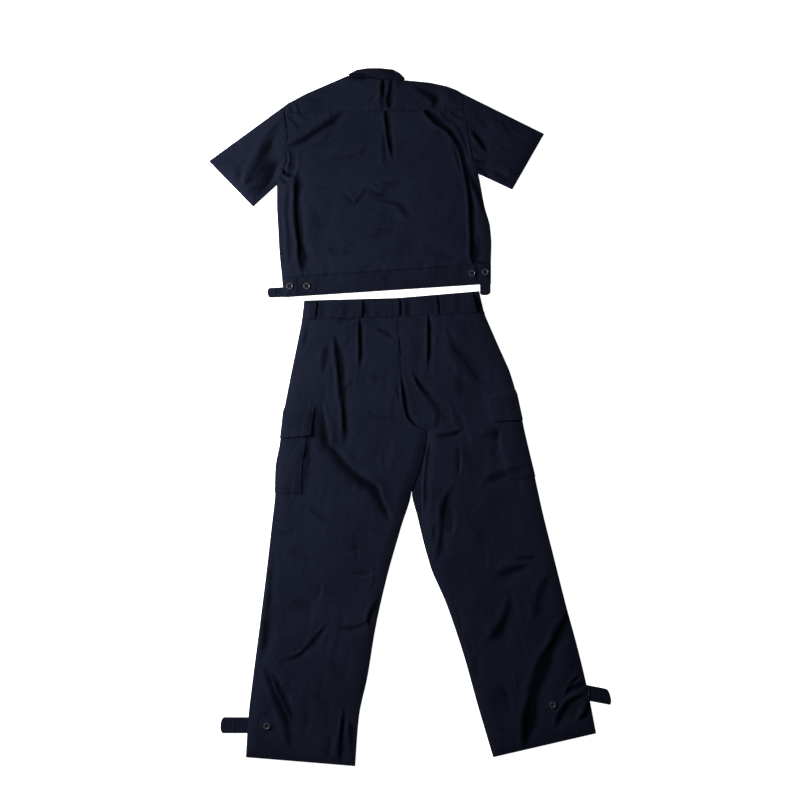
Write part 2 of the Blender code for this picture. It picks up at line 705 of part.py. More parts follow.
def make_trousers():
    """The whole trousers."""
    left = make_half("left", LEFT_BACK, LEFT_INNER, -1)
    right = make_half("right", RIGHT_BACK, RIGHT_INNER, 1)
    make_waistband()
    button("hem_button_left", -337, -724, left)
    button("hem_button_right", 333, -674, right)
    for side, table, ends, reach, away in (
            ("left", LEFT_BACK, LEFT_STRAP_ROWS, Point(-64, 0), -1),
            ("right", RIGHT_BACK, RIGHT_STRAP_ROWS, Point(52.5, -10), 1)):
        root = [row_at(table, s) for s in ends]
        root = [Point(row.outer_x + away * 2 * GAP, row.outer_y) for row in root]
        strap(f"hem_tab_{side}", root, reach)


for old in list(bpy.data.objects):
    bpy.data.objects.remove(old, do_unlink=True)
UNIFORM = new_collection("combat_training_uniform")
CUTTERS = new_collection("cutters")
HOLE = hole_mesh()
SHIRT_OUTLINE = shirt_outline()
TROUSER_OUTLINE = trouser_outline()
make_shirt()
make_trousers()
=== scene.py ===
# %% [markdown]
# # A combat training uniform, laid out flat
# The set is a short-sleeved, waist-length blouse and a pair of cargo trousers in navy
# cotton twill, lying on a table with the backs up. This lesson dresses the plain packed
# model: every flat CAD panel is replaced by a thin sheet of cloth with its creases, and
# the bands, straps, pockets, buttons and stitching follow, in the order of sewing.

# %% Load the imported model
import math
from collections import namedtuple

import bmesh
import bpy
import numpy as np
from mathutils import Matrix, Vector
from mathutils.bvhtree import BVHTree


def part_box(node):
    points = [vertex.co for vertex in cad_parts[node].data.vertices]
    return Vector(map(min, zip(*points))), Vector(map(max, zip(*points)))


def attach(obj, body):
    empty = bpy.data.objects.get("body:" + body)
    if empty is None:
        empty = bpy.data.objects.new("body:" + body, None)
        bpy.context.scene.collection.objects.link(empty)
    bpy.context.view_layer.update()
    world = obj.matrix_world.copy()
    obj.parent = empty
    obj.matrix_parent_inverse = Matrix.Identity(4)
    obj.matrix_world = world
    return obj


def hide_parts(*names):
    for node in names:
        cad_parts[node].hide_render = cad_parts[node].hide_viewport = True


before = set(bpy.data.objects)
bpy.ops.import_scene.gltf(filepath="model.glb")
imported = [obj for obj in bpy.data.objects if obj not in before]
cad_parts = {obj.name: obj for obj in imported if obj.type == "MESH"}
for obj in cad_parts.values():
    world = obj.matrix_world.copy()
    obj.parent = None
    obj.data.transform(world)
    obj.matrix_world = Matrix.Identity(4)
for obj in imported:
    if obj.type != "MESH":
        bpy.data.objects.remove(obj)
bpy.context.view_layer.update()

# %% [markdown]
# ## Units and how the cloth is stacked
# The tables below are in millimetres, the unit of a pattern cutter. X runs across the
# wearer's back, Y up towards the collar and Z away from the table. Each ply of twill
# counts as 1.1 mm and each piece keeps 0.3 mm clear of the next one in the stack.

# %% Thicknesses
MM = 0.001
CLOTH, BAND, STRAP, GAP = 1.1, 1.6, 2.2, 0.3
PLY = CLOTH + GAP
PUFF = 5.2             # air between the upper and the lower layer
LEAST_PUFF = 1.6       # what is left of it at the bottom of a crease
EDGE_ROLL = 30.0       # the upper layer comes down to the lower one over this distance
POCKET_WIDTH = 62.0
FLAP_WIDTH = 70.0
WEAVE = 2.5            # size of a mesh cell on the layers that show
FINE_WEAVE = 2.2       # on the pockets and the waistband
HIDDEN_WEAVE = 8.0     # on the layers that lie underneath
STAGGER = 4.5          # the lower layers' seams lie this far beside the upper layers'

# %% [markdown]
# ## Camera, floor and light
# The camera looks straight down from three metres, as one looks at a garment laid out on
# a table. One soft lamp low on the left rakes over the cloth, because shallow creases
# only show when light crosses them. A weak white sky fills the shadows, and the white
# floor glows, so that navy cloth on it reads as a clean shape.

# %% Camera
CAMERA_HEIGHT = 3.0
FRAME_WIDTH = 1.880
FRAME_MIDDLE = (-0.0247, 0.040)
SENSOR = 36.0
camera_data = bpy.data.cameras.new("camera")
camera_data.sensor_width = SENSOR
camera_data.lens = SENSOR * CAMERA_HEIGHT / FRAME_WIDTH
camera = bpy.data.objects.new("camera", camera_data)
camera.location = (*FRAME_MIDDLE, CAMERA_HEIGHT)
bpy.context.scene.collection.objects.link(camera)
bpy.context.scene.camera = camera
bpy.context.scene.view_settings.view_transform = "Standard"
print("lens", round(camera_data.lens, 1), "mm")

# %% Floor
WHITE = (1.0, 1.0, 1.0, 1.0)


def plain_material(name, colour, roughness):
    """A Principled material with one colour, to which a finish is added."""
    material = bpy.data.materials.new(name)
    material.use_nodes = True
    shader = material.node_tree.nodes["Principled BSDF"]
    shader.inputs["Base Color"].default_value = (*colour, 1.0)
    shader.inputs["Roughness"].default_value = roughness
    return material, shader


bpy.ops.object.select_all(action="DESELECT")
bpy.ops.mesh.primitive_plane_add(size=9.0, location=(0, 0, -0.0006))
floor = bpy.context.object
floor.name = "floor"
floor_material, floor_shader = plain_material("white_floor", (0.93, 0.93, 0.93), 0.9)
floor_shader.inputs["Specular IOR Level"].default_value = 0.1
floor_shader.inputs["Emission Color"].default_value = WHITE
floor_shader.inputs["Emission Strength"].default_value = 0.9
floor.data.materials.append(floor_material)
print("floor", tuple(round(n, 2) for n in floor.dimensions))


# %% Lamp and sky
LAMP_PLACE = Vector((-1.5, 0.42, 0.9))
lamp_data = bpy.data.lights.new("key", "AREA")
lamp_data.shape = "SQUARE"
lamp_data.size = 0.5
lamp_data.energy = 86
lamp = bpy.data.objects.new("key", lamp_data)
lamp.location = LAMP_PLACE
lamp.rotation_euler = (-LAMP_PLACE).to_track_quat("-Z", "Y").to_euler()
bpy.context.scene.collection.objects.link(lamp)
world = bpy.data.worlds.new("studio")
world.use_nodes = True
sky = world.node_tree.nodes["Background"]
sky.inputs["Color"].default_value = WHITE
sky.inputs["Strength"].default_value = 0.19
bpy.context.scene.world = world
print("lit by", [o.name for o in bpy.data.objects if o.type == "LIGHT"])

# %% [markdown]
# ## The cut of the blouse
# The blouse's body is a stack of straight sections from one side to the other. Each row
# gives both ends of one section, from the hem up, and a smooth curve through the rows
# gives every section between them. The same numbers made the CAD panels.

# %% Blouse tables
HEM, BAND_SEAM, UNDERARM, YOKE_SEAM, SHOULDER = 0, 1, 5, 9, 10
#        left x, left y, right x, right y
BODY = [(-298, 281, 189, 313), (-302, 326, 189, 361), (-308, 385, 190, 405),
        (-311, 440, 187, 446), (-314, 500, 174, 494), (-314, 545, 159, 571),
        (-302, 565, 148, 604), (-290, 612, 141, 640), (-289, 656, 136, 674),
        (-296, 714, 126, 721), (-286, 738, 122, 760)]
NECK_LEFT, NECK_RIGHT = 0.34, 0.672
#                share across, height over the line between the shoulder points
SHOULDER_LINE = [(0.0, 0.0), (0.1, 19.5), (0.2, 35.0), (NECK_LEFT, 56.5), (0.45, 52.0),
                 (0.525, 42.5), (0.6, 41.0), (NECK_RIGHT, 38.0), (0.81, 30.0),
                 (0.91, 19.0), (0.968, 8.5), (1.0, 0.0)]
FRONT_TOP = [(0.0, 0.0), (NECK_LEFT, 38.0), (0.42, 14.0), (0.5, 8.0), (0.58, 12.0),
             (NECK_RIGHT, 28.0), (1.0, 0.0)]
COLLAR_START, COLLAR_END = NECK_LEFT + 0.005, NECK_RIGHT - 0.005
COLLAR = [(COLLAR_START, 4.0), (0.392, 14.5), (0.45, 19.5), (0.525, 27.5), (0.6, 24.0),
          (0.64, 16.0), (COLLAR_END, 5.0)]
COLLAR_TUCK = 30.0
LEFT_CUFF = np.array([(-370, 494), (-474, 601)], float)    # underarm seam, top fold
RIGHT_CUFF = np.array([(239, 534), (314, 665)], float)


# %% Reading the blouse's tables
def slopes(table):
    """The slope of a table's columns at each row, eased so that none overshoots a row."""
    step = np.diff(table, axis=0)
    before, after = step[:-1], step[1:]
    with np.errstate(divide="ignore", invalid="ignore"):
        eased = np.where(before * after > 0, 2 * before * after / (before + after), 0.0)
    return np.concatenate([step[:1], eased, step[-1:]])


def row_at(table, s):
    """Rows at places between a table's rows, on a smooth curve through them."""
    table, s = np.asarray(table, float), np.asarray(s, float)
    i = np.clip(s.astype(int), 0, len(table) - 2)
    k = (s - i)[..., None]
    slope = slopes(table)
    a, b, rise_a, rise_b = table[i], table[i + 1], slope[i], slope[i + 1]
    return (a * (1 + 2 * k) * (1 - k) ** 2 + b * (3 - 2 * k) * k * k
            + rise_a * k * (1 - k) ** 2 + rise_b * k * k * (k - 1))


def rise(table, along):
    """Read a table of shares with straight lines between its rows."""
    shares, heights = zip(*table)
    return np.interp(along, shares, heights)


def mix(a, b, k):
    """Points a share k of the way from a to b."""
    return a + (b - a) * np.asarray(k, float)[..., None]


def body(along, s):
    """Places on the blouse's body: a share across it, at row s of its table."""
    along, s = np.broadcast_arrays(np.asarray(along, float), np.asarray(s, float))
    row = row_at(BODY, s)
    return mix(row[..., :2], row[..., 2:], along)


def raised(points, height):
    """The same points, height further up Y."""
    points = points.copy()
    points[..., 1] += height
    return points


def shoulder(along):
    """Places on the shoulder fold and the back neckline."""
    return raised(body(along, SHOULDER), rise(SHOULDER_LINE, along))


print("blouse is", round(float(body(1, 3)[0] - body(0, 3)[0])), "mm wide at the waist")

# %% [markdown]
# ## The cut of the trousers
# Each half of the trousers is a column of sections from its outseam to the centre back
# seam and, below the crotch, to its inseam. The legs lie apart, the right one further
# out, as they were put down.

# %% Trouser tables
WAIST, FLAP_TOP, POCKET_TOP, FLAP_BOTTOM, CROTCH, POCKET_BOTTOM, LEG_HEM = 0, 3, 4, 5, 6, 8, 14
#             outseam x, y, inner x, y
LEFT_BACK = [(-255, 228, -29, 235), (-267, 168, -26, 170), (-281, 100, -20, 95),
             (-296, 22, -10, 22), (-297, 12, -6, 10), (-304, -49, 12, -19),
             (-307, -70, 41, -36), (-316, -120, 24, -115), (-318, -178, 2, -178),
             (-327, -262, -23, -262), (-340, -375, -55, -375), (-355, -495, -82, -495),
             (-370, -610, -101, -610), (-381, -705, -121, -705), (-387, -799, -130, -820)]
RIGHT_BACK = [(173, 244, -29, 235), (206, 168, -26, 170), (234, 104, -20, 95),
              (246, 64, -10, 22), (248, 54, -6, 10), (261, -6, 12, -19),
              (265, -26, 41, -36), (278, -82, 31, -105), (292, -140, 25, -168),
              (310, -222, 26, -235), (337, -330, 42, -335), (365, -441, 86, -444),
              (394, -548, 125, -560), (418, -650, 158, -678), (436, -743, 194, -799)]
# The fronts' inner edges leave the backs' at the crotch, down to where the legs part
LEFT_INNER = {5: (2, -36), 6: (3, -55), 7: (5, -112), 8: (2, -176)}
RIGHT_INNER = {5: (3, -36), 6: (4, -55), 7: (6, -112), 8: (3.2, -176), 9: (17, -238)}
WAIST_TOP = np.array([(-250, 274), (-29, 280), (161, 296)], float)


def half(table, away, share, s):
    """Places on a half: a share of the way from its outseam, at row s of its table."""
    share, s = np.broadcast_arrays(np.asarray(share, float), np.asarray(s, float))
    row = row_at(table, s)
    inner = row[..., 2:].copy()
    inner[..., 0] += GAP / 2 * away
    return mix(row[..., :2], inner, share)


print("inside leg", round(math.dist(LEFT_BACK[CROTCH][2:], LEFT_BACK[LEG_HEM][2:])), "mm")

# %% [markdown]
# ## Creases
# Cloth that has been worn, folded and laid down keeps soft troughs where it was drawn
# in, and each trough pushes up a lip on both sides. A crease here is a smooth path with
# a width and a height: below zero a trough, above zero a ridge. A step lifts the side to
# the left of its direction, which is how a pleat's fold lies over the cloth beside it.
# One side of a crease is steep and the other gentle, as cloth leans over where it was
# pushed, and most of them lean the same way. They are placed one by one, because creases
# that repeat look printed.

# %% Creases of the blouse
Crease = namedtuple("Crease", "path width height step", defaults=(0.0,))
YOKE_CREASES = [
    Crease([(-61, 806), (-64, 775), (-62, 745), (-64, 712)], 6, -3.8),     # pinches over
    Crease([(-44, 802), (-46, 770), (-50, 745), (-49, 712)], 5.5, -3.6),   # the pleat
    Crease([(2, 784), (20, 770), (44, 757), (58, 742), (50, 712)], 6.5, -3.0),
    Crease([(84, 778), (104, 752), (122, 724)], 8, -1.3),
    Crease([(-262, 752), (-225, 744), (-180, 748)], 10, -0.9),
    Crease([(-156, 800), (-125, 799), (-86, 797)], 4, -3.8),
    Crease([(-290, 738), (-280, 722), (-276, 706)], 4, -1.5),
    Crease([(-276, 745), (-262, 728), (-258, 706)], 4, -1.3),
]
BACK_CREASES = [
    Crease([(-60, 750), (-56, 700), (-50, 650), (-38, 592)], 4.5, -3.2, -1.0),  # centre pleat
    Crease([(-52, 700), (-60, 640), (-56, 600), (-42, 574)], 6, -1.3),
    # from the left armhole to the yoke, and the cloth gathered round it
    Crease([(-302, 620), (-282, 636), (-240, 658), (-210, 678), (-180, 698), (-140, 730)],
           6, -4.6),
    Crease([(-266, 636), (-215, 642), (-180, 668), (-146, 692)], 10, -1.3),
    Crease([(-292, 714), (-270, 690), (-252, 668)], 5, -1.5),
    Crease([(-270, 726), (-246, 704), (-224, 688)], 5, -1.3),
    Crease([(-284, 642), (-280, 600), (-285, 556)], 4, -1.5),
    Crease([(-272, 638), (-270, 600), (-275, 562)], 4, -1.3),
    Crease([(-306, 584), (-294, 572), (-280, 566), (-264, 570)], 4.5, -2.6),
    Crease([(-306, 566), (-296, 552), (-284, 546)], 4, -2.2),
    Crease([(-296, 634), (-290, 606), (-296, 580)], 4, -2.4),
    # left side pleat
    Crease([(-262, 592), (-266, 540), (-268, 500), (-262, 430), (-256, 380), (-249, 318)],
           6, -4.8, -0.8),
    Crease([(-284, 560), (-290, 480), (-284, 420), (-282, 346)], 5, -1.6),
    Crease([(-301, 542), (-305, 460), (-302, 380), (-298, 326)], 4, -1.3),
    # from the yoke round the right armhole into the side pleat
    Crease([(18, 752), (34, 722), (60, 694), (92, 668), (112, 640), (124, 600), (134, 560),
            (142, 500), (144, 440), (151, 332)], 5, -4.2, -0.8),
    Crease([(62, 704), (98, 660), (112, 610), (126, 552)], 6, -1.7),
    Crease([(68, 726), (84, 702), (112, 690)], 5, -1.5),
    Crease([(90, 726), (104, 708), (126, 700)], 4, -1.5),
    Crease([(98, 692), (116, 672), (130, 636)], 5, -1.7),
    Crease([(124, 664), (134, 630), (139, 596)], 4, -1.5),
    Crease([(138, 584), (150, 545), (166, 510), (180, 462)], 5.5, -3.6),
    Crease([(158, 444), (163, 390), (160, 346)], 7, -1.2),
    Crease([(146, 369), (170, 363), (194, 367)], 4, -1.8),
    # slack across the back
    Crease([(-194, 604), (-150, 612), (-106, 615)], 10, -1.5),
    Crease([(-170, 552), (-148, 520), (-130, 503), (-112, 522), (-96, 535), (-60, 522),
            (-14, 530)], 4.5, -1.9),
    Crease([(-114, 518), (-70, 508), (-30, 500), (-4, 474), (28, 455)], 6, -1.7),
    Crease([(-134, 494), (-90, 480), (-46, 470)], 14, 1.3),
    Crease([(-64, 562), (-40, 548), (-6, 558)], 7, -1.2),
    Crease([(-196, 394), (-160, 380), (-124, 386)], 11, -1.2),
    Crease([(26, 402), (70, 378), (124, 364)], 10, -1.1),
    Crease([(-124, 450), (-60, 438), (-14, 450)], 12, -1.0),
    Crease([(-226, 500), (-214, 452), (-222, 400)], 11, -1.0),
]
SLEEVE_CREASES = [
    Crease([(-300, 682), (-330, 645), (-350, 610), (-372, 568), (-391, 524)], 9, -3.4),
    Crease([(-292, 608), (-318, 590), (-330, 560), (-352, 530), (-376, 504)], 11, -3.6),
    Crease([(-298, 694), (-322, 672), (-340, 652)], 6, -1.5),
    Crease([(-412, 606), (-402, 572), (-408, 540)], 9, -1.0),
    Crease([(140, 684), (152, 664), (166, 644), (186, 614)], 7, -3.2),
    Crease([(146, 608), (166, 600), (190, 603)], 6, -2.8),
    Crease([(150, 592), (166, 578), (188, 558)], 7, -2.6),
    Crease([(186, 584), (215, 566), (232, 556), (254, 562)], 9, -1.8),
    Crease([(168, 724), (220, 690), (266, 636)], 14, -1.1),
]
BLOUSE_SPOTS = [(-283, 307), (-243, 307), (144, 337), (175, 340)]    # buttons

# %% [markdown]
# The trousers crease where they bend and pull: long falls from the darts, drag lines to
# the crotch, short breaks behind the knees and deep folds down the shins where the
# straps draw the hems in.

# %% Creases of the trousers
SEAT_SEAM = Crease([(-24, 112), (-17, 66), (-10, 22), (-4, 0), (12, -19), (44, -36)], 3.6, -3.4)
LEFT_CREASES = [
    SEAT_SEAM,
    Crease([(-118, 252), (-118, 200), (-117, 150), (-118, 102)], 3.6, -3.0, -0.7),  # dart
    Crease([(-90, 213), (-60, 198), (-32, 183)], 5, -2.1),
    Crease([(-176, 214), (-150, 226), (-120, 231)], 7, -1.3),
    # the long fall down the seat, and the one from the hip to the inseam
    Crease([(-178, 206), (-172, 160), (-166, 120), (-162, 70), (-156, 10), (-151, -78)],
           6, -3.8, -0.8),
    Crease([(-191, 180), (-199, 140), (-205, 92)], 6, -1.8),
    Crease([(-209, 46), (-204, -10), (-196, -60), (-172, -90), (-148, -118), (-112, -148),
            (-84, -166), (-70, -196), (-36, -266)], 9, -3.6),
    Crease([(-240, 224), (-246, 190), (-251, 154)], 6, -1.4),
    Crease([(-104, 102), (-76, 92), (-46, 101)], 10, -1.2),
    Crease([(-104, 14), (-66, -2), (-24, -6)], 5, -1.2),
    Crease([(-34, 78), (-27, 50), (-23, 24)], 5, -1.3),
    Crease([(-60, -50), (-64, -90), (-58, -130)], 11, -1.1),
    Crease([(-240, -56), (-238, -120), (-241, -182)], 6, -1.3),
    Crease([(-246, -200), (-215, -232), (-170, -262)], 6, -1.2),
    Crease([(-314, -268), (-285, -273), (-266, -261)], 6, -1.2),
    Crease([(-325, -324), (-330, -400), (-338, -470), (-345, -540), (-353, -592)], 8, -2.6),
    Crease([(-136, -262), (-128, -310), (-126, -352)], 5, -1.1),
    Crease([(-152, -362), (-116, -369), (-76, -362)], 5, -1.4),
    # calf, back of the knee, and the folds that the strap draws up
    Crease([(-180, -474), (-206, -500), (-236, -536), (-262, -560), (-318, -579)], 5, -2.3),
    Crease([(-66, -414), (-86, -450), (-97, -478), (-90, -506)], 6, -3.2),
    Crease([(-86, -468), (-120, -492), (-176, -499)], 6, -1.5),
    Crease([(-354, -576), (-336, -606), (-322, -640), (-304, -684), (-292, -716),
            (-287, -745), (-274, -796)], 7, -3.5),
    Crease([(-332, -586), (-306, -640), (-284, -690), (-271, -728)], 5, -3.2),
    Crease([(-152, -664), (-158, -720), (-162, -760), (-164, -832)], 5, -3.0),
    Crease([(-141, -694), (-138, -750), (-134, -808)], 4.5, -2.4),
    Crease([(-240, -643), (-210, -664), (-180, -689)], 8, -1.8),
    Crease([(-184, -734), (-190, -780), (-197, -812)], 7, -1.8),
    Crease([(-294, -296), (-262, -330), (-220, -348)], 12, -1.2),
    Crease([(-204, -556), (-172, -600), (-150, -644)], 13, -1.2),
    Crease([(-250, -640), (-244, -700), (-250, -760)], 11, -1.2),
    Crease([(-282, -420), (-250, -440), (-214, -436)], 13, -1.1),
]
RIGHT_CREASES = [
    SEAT_SEAM,
    Crease([(42, 254), (44, 200), (44, 160), (41, 102)], 3.6, -3.0, -0.7),         # dart
    # drag lines to the crotch
    Crease([(-2, 124), (20, 80), (46, 44), (68, 10), (64, -16), (50, -40)], 6, -2.2),
    Crease([(46, -42), (76, -44), (104, -38), (132, -26)], 4.5, -3.0),
    Crease([(127, -32), (116, -10), (109, 10)], 6, -1.4),
    Crease([(44, -40), (40, -80), (36, -120), (33, -180), (35, -246)], 4, -2.8, -0.6),
    # hip
    Crease([(82, 194), (104, 160), (130, 130), (150, 100), (180, 68)], 11, -2.4),
    Crease([(125, 114), (118, 70), (121, 34)], 9, -1.2),
    Crease([(4, 196), (22, 150), (10, 116)], 10, -1.0),
    # seat to the inside of the knee
    Crease([(112, -58), (115, -100), (112, -150)], 5, -1.8),
    Crease([(118, -150), (94, -176), (80, -214), (76, -262), (70, -310), (50, -360)], 6.5, -2.2),
    Crease([(94, -196), (98, -244), (92, -290)], 7, -1.3),
    Crease([(106, -58), (120, -80), (150, -100), (170, -112)], 12, -1.5),
    Crease([(154, -52), (190, -40), (226, -24)], 9, -2.0),
    Crease([(164, -170), (196, -142), (232, -130), (280, -118)], 8, -2.6),
    Crease([(246, -328), (276, -331), (304, -327)], 5, -1.9),
    Crease([(186, -373), (214, -368), (246, -356), (300, -345)], 8, -3.0),
    Crease([(342, -352), (322, -382), (304, -420), (298, -456), (293, -502)], 9, -2.5),
    # the strong fold down the shin
    Crease([(378, -434), (352, -500), (330, -540), (312, -580), (294, -630), (282, -680),
            (274, -730), (267, -800)], 9.5, -4.6),
    Crease([(238, -404), (230, -450), (216, -490), (190, -522), (160, -543)], 9, -2.5),
    # gathers from the strap
    Crease([(420, -622), (396, -628), (376, -636), (358, -662)], 5, -3.4),
    Crease([(422, -634), (404, -652), (374, -668), (348, -712), (340, -744)], 6, -3.0),
    Crease([(424, -654), (414, -690), (388, -716)], 4.5, -3.2),
    Crease([(398, -604), (380, -622), (366, -628)], 4, -2.6),
    Crease([(412, -668), (396, -676), (384, -698), (382, -724)], 7, -1.6),
    Crease([(159, -552), (150, -584), (158, -624)], 7, -1.6),
    Crease([(98, -434), (112, -470), (121, -506)], 8, -1.5),
    Crease([(200, -620), (228, -660), (230, -716)], 11, -1.3),
    Crease([(150, -246), (170, -290), (196, -318)], 12, -1.2),
    Crease([(212, 20), (200, -90), (222, -150)], 12, -1.0),
]
TROUSER_SPOTS = [(-337, -724), (333, -674)]
placed = YOKE_CREASES + BACK_CREASES + SLEEVE_CREASES + LEFT_CREASES + RIGHT_CREASES
print(len(placed), "creases")


# %% Reading the creases
def smooth(k):
    """Ease from 0 to 1 without a corner at either end."""
    k = np.clip(k, 0.0, 1.0)
    return k * k * (3.0 - 2.0 * k)


def from_line(x, y, line):
    """Distance to a line of points, how far along it the nearest place is, and the side."""
    best, at, side = np.full(x.shape, 1e9), np.zeros(x.shape), np.zeros(x.shape)
    run = 0.0
    for (ax, ay), (bx, by) in zip(line, line[1:]):
        dx, dy = bx - ax, by - ay
        length = math.hypot(dx, dy)
        k = np.clip(((x - ax) * dx + (y - ay) * dy) / length ** 2, 0, 1)
        off = np.hypot(x - ax - dx * k, y - ay - dy * k)
        closer = off < best
        best = np.where(closer, off, best)
        at = np.where(closer, run + k * length, at)
        side = np.where(closer, np.sign(dx * (y - ay) - dy * (x - ax)), side)
        run += length
    return best, at, side


# %% [markdown]
# Between the creases the cloth is never quite flat. Soft hills about a hand wide come
# from noise on a coarse lattice, and finer wrinkles from the same noise drawn out along
# one direction. Every lattice has its own seed, so each run gives the same cloth.

# %% Soft hills
LATTICE = 128
#           height, size, seed, turn from the wrinkles, stretch along it
BROAD = [(1.3, 95, 11, 20, 1.0), (0.9, 46, 12, -30, 1.5)]
RIDGES = [(1.0, 26, 13, 0, 3.2), (1.0, 31, 14, 64, 2.6)]
FINE = [(0.20, 12, 15, 12, 3.0), (0.07, 6.5, 16, -25, 1.8)]


def hills(x, y, size, seed, turn=0.0, stretch=1.0):
    """Soft random hills from -1 to 1, about size apart, drawn out along turn degrees."""
    lattice = np.random.default_rng(seed).uniform(-1, 1, (LATTICE, LATTICE))
    c, s = math.cos(math.radians(turn)), math.sin(math.radians(turn))
    u = (x * c + y * s) / (size * stretch) + LATTICE / 2
    v = (y * c - x * s) / size + LATTICE / 2
    i, j = np.floor(u).astype(int), np.floor(v).astype(int)
    ku, kv = smooth(u - i), smooth(v - j)
    corner = [lattice[(i + a) % LATTICE, (j + b) % LATTICE] for a in (0, 1) for b in (0, 1)]
    return ((corner[0] * (1 - kv) + corner[1] * kv) * (1 - ku)
            + (corner[2] * (1 - kv) + corner[3] * kv) * ku)


def layered(x, y, turn, table, shape=np.positive):
    """The sum of a table of hills, each put through a shape."""
    return sum(height * shape(hills(x, y, size, seed, turn + lean, stretch))
               for height, size, seed, lean, stretch in table)


def slack(x, y, turn):
    """The unevenness of cloth whose wrinkles mostly run along turn degrees."""
    return (layered(x, y, turn, BROAD) + 0.9 * layered(x, y, turn, RIDGES, np.abs) - 0.6
            + layered(x, y, turn, FINE))


# %% One crease
TAPER, LONGEST_TAPER = 0.35, 60.0    # it fades in and out over this share of its length
CRISP = 1.45                         # below 2 its bottom is sharper than a smooth hollow
STEEP, GENTLE = 0.75, 1.7            # how far it reaches on its two sides, in its widths
LIP_STEEP, LIP_GENTLE = 0.45, 0.12   # and how high its lips are there, in its depths
LIP_FROM, LIP_WIDE = 2.2, 1.2
VARIED = 0.28                        # how much its depth and its width vary along it,
DEPTH_RUN, WIDTH_RUN = 34, 37        # and over what length each of them varies
TILT = 0.35                          # how much a crease's run across decides its steep side
STEP_EASE, STEP_FADE = 1.6, 4.0      # a pleat's step rises, and is gone, in its widths
END_WIDTH, SWELL = 0.55, 0.45        # its width at its ends, and what it gains inside
FELT = 5                             # it does nothing this many widths away
PATH_STEPS = 5                       # straight pieces between two points of a path


def varied(at, size, seed):
    """A factor near 1 that varies along a crease."""
    return 1 + VARIED * hills(at, 0 * at, size, seed)


def crease_height(c, line, x, y):
    """The height that one crease adds at places near its line."""
    off, at, side = from_line(x, y, line)
    length = float(np.linalg.norm(np.diff(line, axis=0), axis=1).sum())
    taper = min(TAPER * length, LONGEST_TAPER)
    fade = smooth(at / taper) * smooth((length - at) / taper)
    seed = abs(int(c.path[0][0] * 7 + c.path[0][1] * 3))
    off = off / (c.width * (END_WIDTH + SWELL * fade) * varied(at, WIDTH_RUN, seed + 1))
    dx, dy = np.subtract(c.path[-1], c.path[0])
    lean = np.sign(dy + TILT * dx) * (-1 if seed % 5 == 0 else 1)
    steep = side * (np.sign(c.step) if c.step else lean) > 0
    across = off / np.where(steep, STEEP, GENTLE)
    lips = (np.where(steep, LIP_STEEP, LIP_GENTLE)
            * np.exp(-((across - LIP_FROM) / LIP_WIDE) ** 2))
    trough = c.height * varied(at, DEPTH_RUN, seed) * (np.exp(-across ** CRISP) - lips)
    stepped = c.step * (smooth(side * off / STEP_EASE + 0.5) * np.exp(-(off / STEP_FADE) ** 2))
    return fade * (trough + stepped)


def creased(x, y, creases):
    """The height that a list of creases adds at each place."""
    height = np.zeros_like(x)
    for c in creases:
        last = len(c.path) - 1
        line = row_at(c.path, np.linspace(0, last, PATH_STEPS * last + 1))
        low, high = line.min(0) - FELT * c.width, line.max(0) + FELT * c.width
        near = (x > low[0]) & (x < high[0]) & (y > low[1]) & (y < high[1])
        if near.any():
            height[near] += crease_height(c, line, x[near], y[near])
    return height


# %% [markdown]
# The creases that matter are in the tables. Cloth also has many short shallow ones, and
# those are strewn over each panel by seeded random numbers, mostly along the direction
# in which that panel was pulled.

# %% Small creases
def small_creases(seed, count, low, high, turn):
    """Short shallow creases strewn between two corners, mostly along turn degrees."""
    random = np.random.default_rng(seed)
    made = []
    for _ in range(count):
        middle = random.uniform(low, high)
        angle = math.radians(turn + random.normal(0, 24))
        ahead = np.array([math.cos(angle), math.sin(angle)]) * random.uniform(14, 48)
        bow = np.array([-ahead[1], ahead[0]]) * random.uniform(-0.25, 0.25)
        path = [tuple(middle + move) for move in (-ahead, bow, ahead)]
        width = random.uniform(3, 6.5)
        height = random.choice([-1, 0.7]) * random.uniform(0.4, 1.1)
        made.append(Crease(path, width, height))
    return made


BACK_CREASES += small_creases(71, 46, (-300, 330), (180, 720), 6)
YOKE_CREASES += small_creases(72, 8, (-270, 725), (110, 790), 20)
SLEEVE_CREASES += small_creases(73, 10, (-430, 520), (-300, 690), 50)
SLEEVE_CREASES += small_creases(74, 10, (150, 560), (290, 700), -50)
LEFT_CREASES += small_creases(75, 60, (-370, -800), (-20, 220), 84)
RIGHT_CREASES += small_creases(76, 60, (0, -760), (400, 220), 106)
print(len(BACK_CREASES), "creases on the blouse's back,", len(LEFT_CREASES), "and",
      len(RIGHT_CREASES), "on the legs")


# %% Outlines of the two garments
def blouse_outline():
    """The blouse's outline, from the left hem up, over the collar and down again."""
    side = np.linspace(HEM, UNDERARM, 11)
    top = np.array([share for share, _ in SHOULDER_LINE])
    collar = np.array([share for share, _ in COLLAR])
    reach = raised(shoulder(collar), rise(COLLAR, collar))
    return [*body(0, side), *LEFT_CUFF, *shoulder(top[top < NECK_LEFT]), *reach,
            *shoulder(top[top > NECK_RIGHT]), *RIGHT_CUFF[::-1], *body(1, side[::-1])]


def trouser_outline():
    """The outline of the trousers: up the left, across the waist, down the right."""
    rows = np.linspace(WAIST, LEG_HEM, 29)
    legs = rows[rows >= CROTCH]
    return [*half(LEFT_BACK, -1, 0, rows[::-1]), *WAIST_TOP, *half(RIGHT_BACK, 1, 0, rows),
            *half(RIGHT_BACK, 1, 1, legs[::-1]), *half(LEFT_BACK, -1, 1, legs[1:])]


def closed(outline):
    """An outline with its first point again at its end."""
    return outline + outline[:1]


BLOUSE_OUTLINE = closed(blouse_outline())
TROUSER_OUTLINE = closed(trouser_outline())
print(len(BLOUSE_OUTLINE), "and", len(TROUSER_OUTLINE), "points round the two garments")

